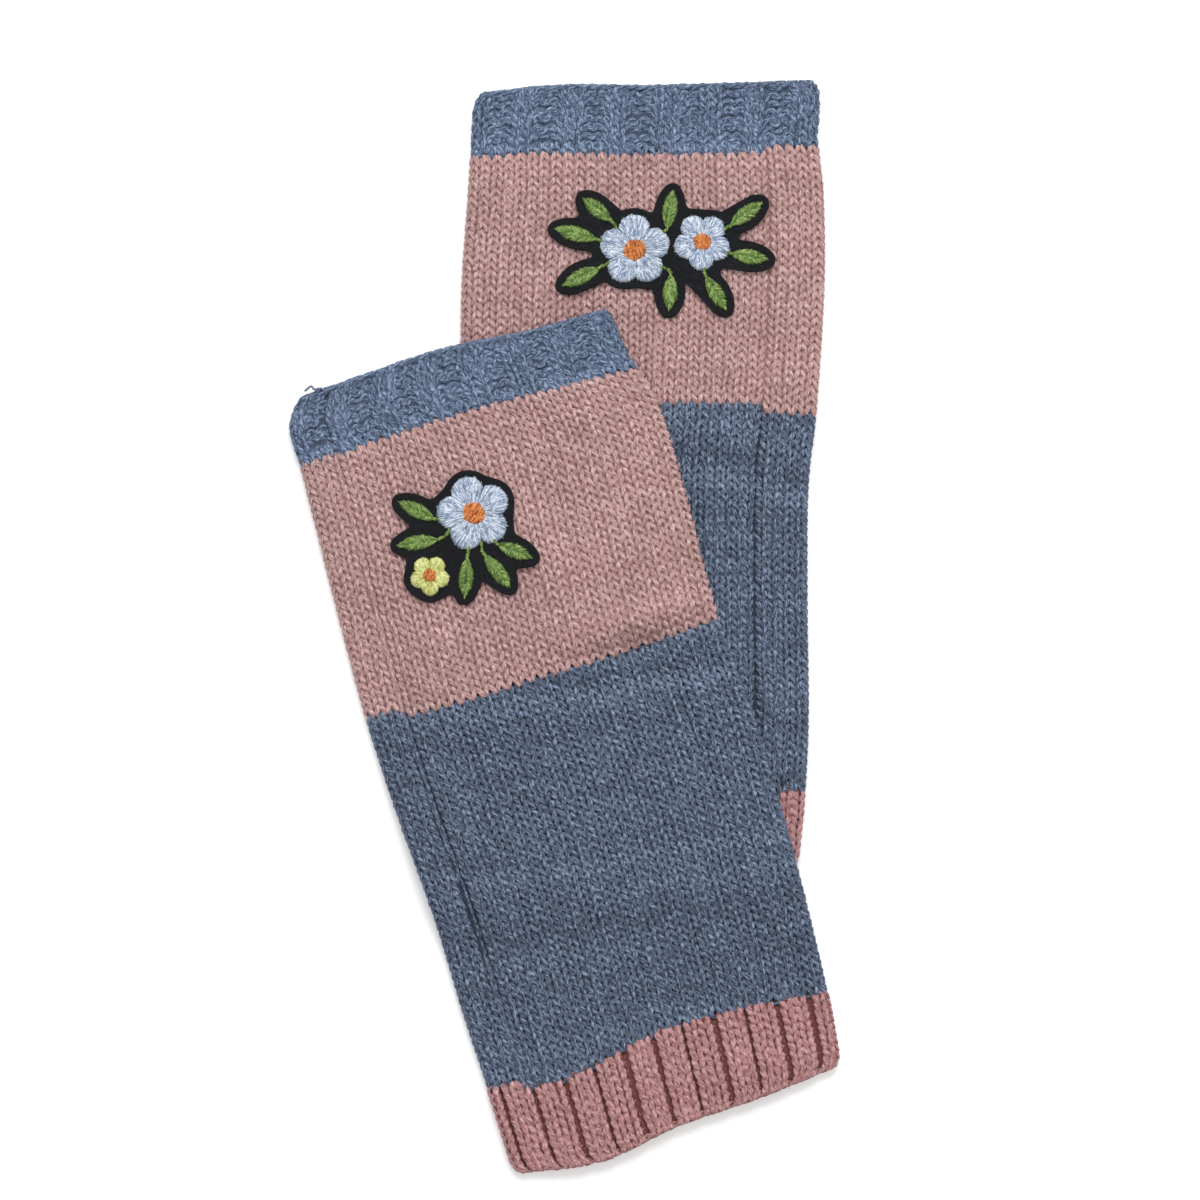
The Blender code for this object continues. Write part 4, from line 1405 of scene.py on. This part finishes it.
    def add_stalk(self, builder: MeshBuilder, foot: Array, along: Array, number: int) -> None:
        """A leaf's stalk: short slanted threads from the leaf's foot to the edge of the near blossom.

        Args:
            builder: The leaf's mesh.
            foot: (2,), the leaf's inner tip, a patch place in mm.
            along: (2,), the way in which the leaf points.
            number: The leaf's number, for its irregularities.
        """
        near = min(self.blossoms, key=lambda bloom: np.linalg.norm(bloom.middle - foot) - bloom.radius)
        target = near.middle + unit(foot - near.middle) * near.radius * 0.8
        long = np.linalg.norm(target - foot)
        bend = foot - along * long * 0.5
        t = np.linspace(0.0, 1.0, max(int(long / (FILL_THREAD * 1.5)), 4))[:, None]
        line = (1 - t) ** 2 * foot + 2 * t * (1 - t) * bend + t**2 * target
        way = unit(np.gradient(line, axis=0))
        slanted = left_of(way) * STALK_HALF + way * 0.5
        level = np.float64(STALK_HEIGHT)
        self.lay_threads(builder, line - slanted, line + slanted, lambda _: level, number + 850)


SILVER = {"thread": SILVER_THREAD, "slot": Slot.SILVER}
YELLOW = {"thread": YELLOW_THREAD, "slot": Slot.YELLOW}
FRONT_PATCH = Patch(
    name="front_patch",
    cloth=FRONT,
    x=-37.1,
    y=32.2,
    turn=16.0,
    blossoms=(
        Petalled(7.4, 5.5, 13.0, 18.0, 4.0, **SILVER),
        Petalled(-13.3, -11.0, 7.0, 40.0, 2.4, **YELLOW),
    ),
    leaves=(
        Leaf(-11.5, 12.0, 14.0, 5.0, 138.0),
        Leaf(-14.3, 1.2, 14.5, 5.0, 172.0),
        Leaf(-1.4, -15.2, 14.0, 5.0, 250.0),
        Leaf(9.7, -16.1, 14.5, 5.0, 292.0),
        Leaf(17.5, -11.0, 13.0, 4.8, 322.0),
    ),
    seed=1,
)
REAR_PATCH = Patch(
    name="rear_patch",
    cloth=REAR,
    x=33.4,
    y=130.5,
    turn=1.0,
    blossoms=(
        Petalled(-9.0, 1.0, 12.5, 90.0, 4.0, **SILVER),
        Petalled(14.5, 3.5, 10.0, 50.0, 3.2, **SILVER),
    ),
    leaves=(
        Leaf(-29.5, 7.0, 15.0, 5.2, 165.0),
        Leaf(-28.0, -8.0, 14.0, 5.2, 205.0),
        Leaf(-22.0, 15.5, 12.0, 5.0, 140.0),
        Leaf(3.5, 15.0, 13.5, 5.0, 80.0),
        Leaf(30.0, 13.0, 13.5, 5.0, 35.0),
        Leaf(31.0, -2.0, 13.0, 5.0, 350.0),
        Leaf(19.0, -14.5, 13.5, 5.0, 300.0),
        Leaf(3.0, -14.0, 12.5, 5.0, 265.0),
    ),
    seed=2,
)


# Warmers and studio

SEAM = 0.15  # mm that a piece ends before the place where the next colour starts


@dataclass
class WarmerLook:
    """The four knitted pieces of a warmer and its patch."""

    cloth: Cloth
    patch: Patch
    seed: int

    def build(self) -> None:
        """Build the patch and the knitted pieces."""
        cloth = self.cloth
        lower_cuff = replace(LOWER_CUFF, phase=cloth.first_rib)
        # Each part's shell takes a darker finish than its yarn, painted shade between the stitches.
        parts = (
            ("upper_cuff", UPPER_CUFF, SLATE_CUFF, SLATE_BED_SHADE, SLATE_FUZZ, Slot.SLATE),
            ("upper_band", UPPER_BAND, ROSE_YARN, ROSE_BED_SHADE, ROSE_FUZZ, Slot.ROSE),
            ("lower_band", LOWER_BAND, SLATE_YARN, SLATE_GAP_SHADE, SLATE_FUZZ, Slot.SLATE),
            ("lower_cuff", lower_cuff, ROSE_CUFF, ROSE_GAP_SHADE, ROSE_FUZZ, Slot.ROSE),
        )
        changes = (cloth.cuff_end, cloth.stripe, cloth.band_end)
        starts = (0.0, *(change + SEAM for change in changes))
        ends = (*(change - SEAM for change in changes), cloth.length)
        self.patch.build()
        for number, ((part, gauge, *look), start, end) in enumerate(zip(parts, starts, ends)):
            piece = KnitPiece(cloth, part, gauge, start, end, *look)
            piece.build(self.seed * 10 + number)
            piece.declare(self.patch.pieces if part == "upper_band" else [])
            log.info("%s: %d faces", piece.node, sum(len(p.data.polygons) for p in piece.pieces))


@dataclass
class Studio:
    """A white floor, soft light from beyond the top of the picture, and a camera straight above."""

    middle: tuple[float, float] = (12.25 * MM, 9.45 * MM)
    frame_size: float = 420.0 * MM
    height: float = 1.5
    sensor: float = 36.0
    floor_half: float = 3.0
    floor_level: float = -0.2 * MM
    light_size: float = 1.2

    def build(self) -> None:
        """Build the floor, the lights and the camera."""
        self.add_floor()
        self.add_light("key", (0.06, 1.54, 1.73), 37.5)
        self.add_light("fill", (0.9, -0.3, 1.2), 3.0)
        world = bpy.data.worlds.new("studio")
        world.use_nodes = True
        sky = {"Color": (1.0, 1.0, 1.0, 1.0), "Strength": 0.53}
        Graph(world.node_tree).fill(world.node_tree.nodes["Background"], sky)
        bpy.context.scene.world = world
        bpy.context.scene.view_settings.view_transform = "Standard"
        self.add_camera()

    def add_floor(self) -> None:
        """The floor, a wide plain sheet just under the cloth."""
        mesh = bpy.data.meshes.new("floor")
        signs = ((-1, -1), (1, -1), (1, 1), (-1, 1))
        corners = [(x * self.floor_half, y * self.floor_half, self.floor_level) for x, y in signs]
        mesh.from_pydata(corners, [], [(0, 1, 2, 3)])
        paint = bpy.data.materials.new("floor")
        paint.use_nodes = True
        look = {
            "Base Color": (0.95, 0.95, 0.95, 1.0),
            "Roughness": 0.9,
            "Specular IOR Level": 0.0,
            "Emission Color": (1.0, 1.0, 1.0, 1.0),
            "Emission Strength": 0.22,
        }
        Graph(paint.node_tree).fill(paint.node_tree.nodes["Principled BSDF"], look)
        mesh.materials.append(paint)
        put("floor", mesh)

    def add_light(self, name: str, place: tuple[float, float, float], power: float) -> None:
        """A square soft light at a place in metres, of a power in watts, that looks at the pair."""
        data = bpy.data.lights.new(name, "AREA")
        data.size = self.light_size
        data.energy = power
        light = put(name, data)
        light.location = place
        light.rotation_euler = (-Vector(place)).to_track_quat("-Z", "Y").to_euler()

    def add_camera(self) -> None:
        """The camera, straight above the photo's middle."""
        data = bpy.data.cameras.new("camera")
        data.sensor_width = self.sensor
        data.lens = self.sensor * self.height / self.frame_size
        camera = put("camera", data)
        camera.location = (*self.middle, self.height)
        bpy.context.scene.camera = camera


def main() -> None:
    """Build both warmers and the studio."""
    logging.basicConfig(level=logging.INFO, format="%(message)s", stream=sys.stdout)
    for cloth, patch, seed in ((REAR, REAR_PATCH, 1), (FRONT, FRONT_PATCH, 2)):
        WarmerLook(cloth, patch, seed).build()
    Studio().build()


if __name__ == "__main__":
    main()
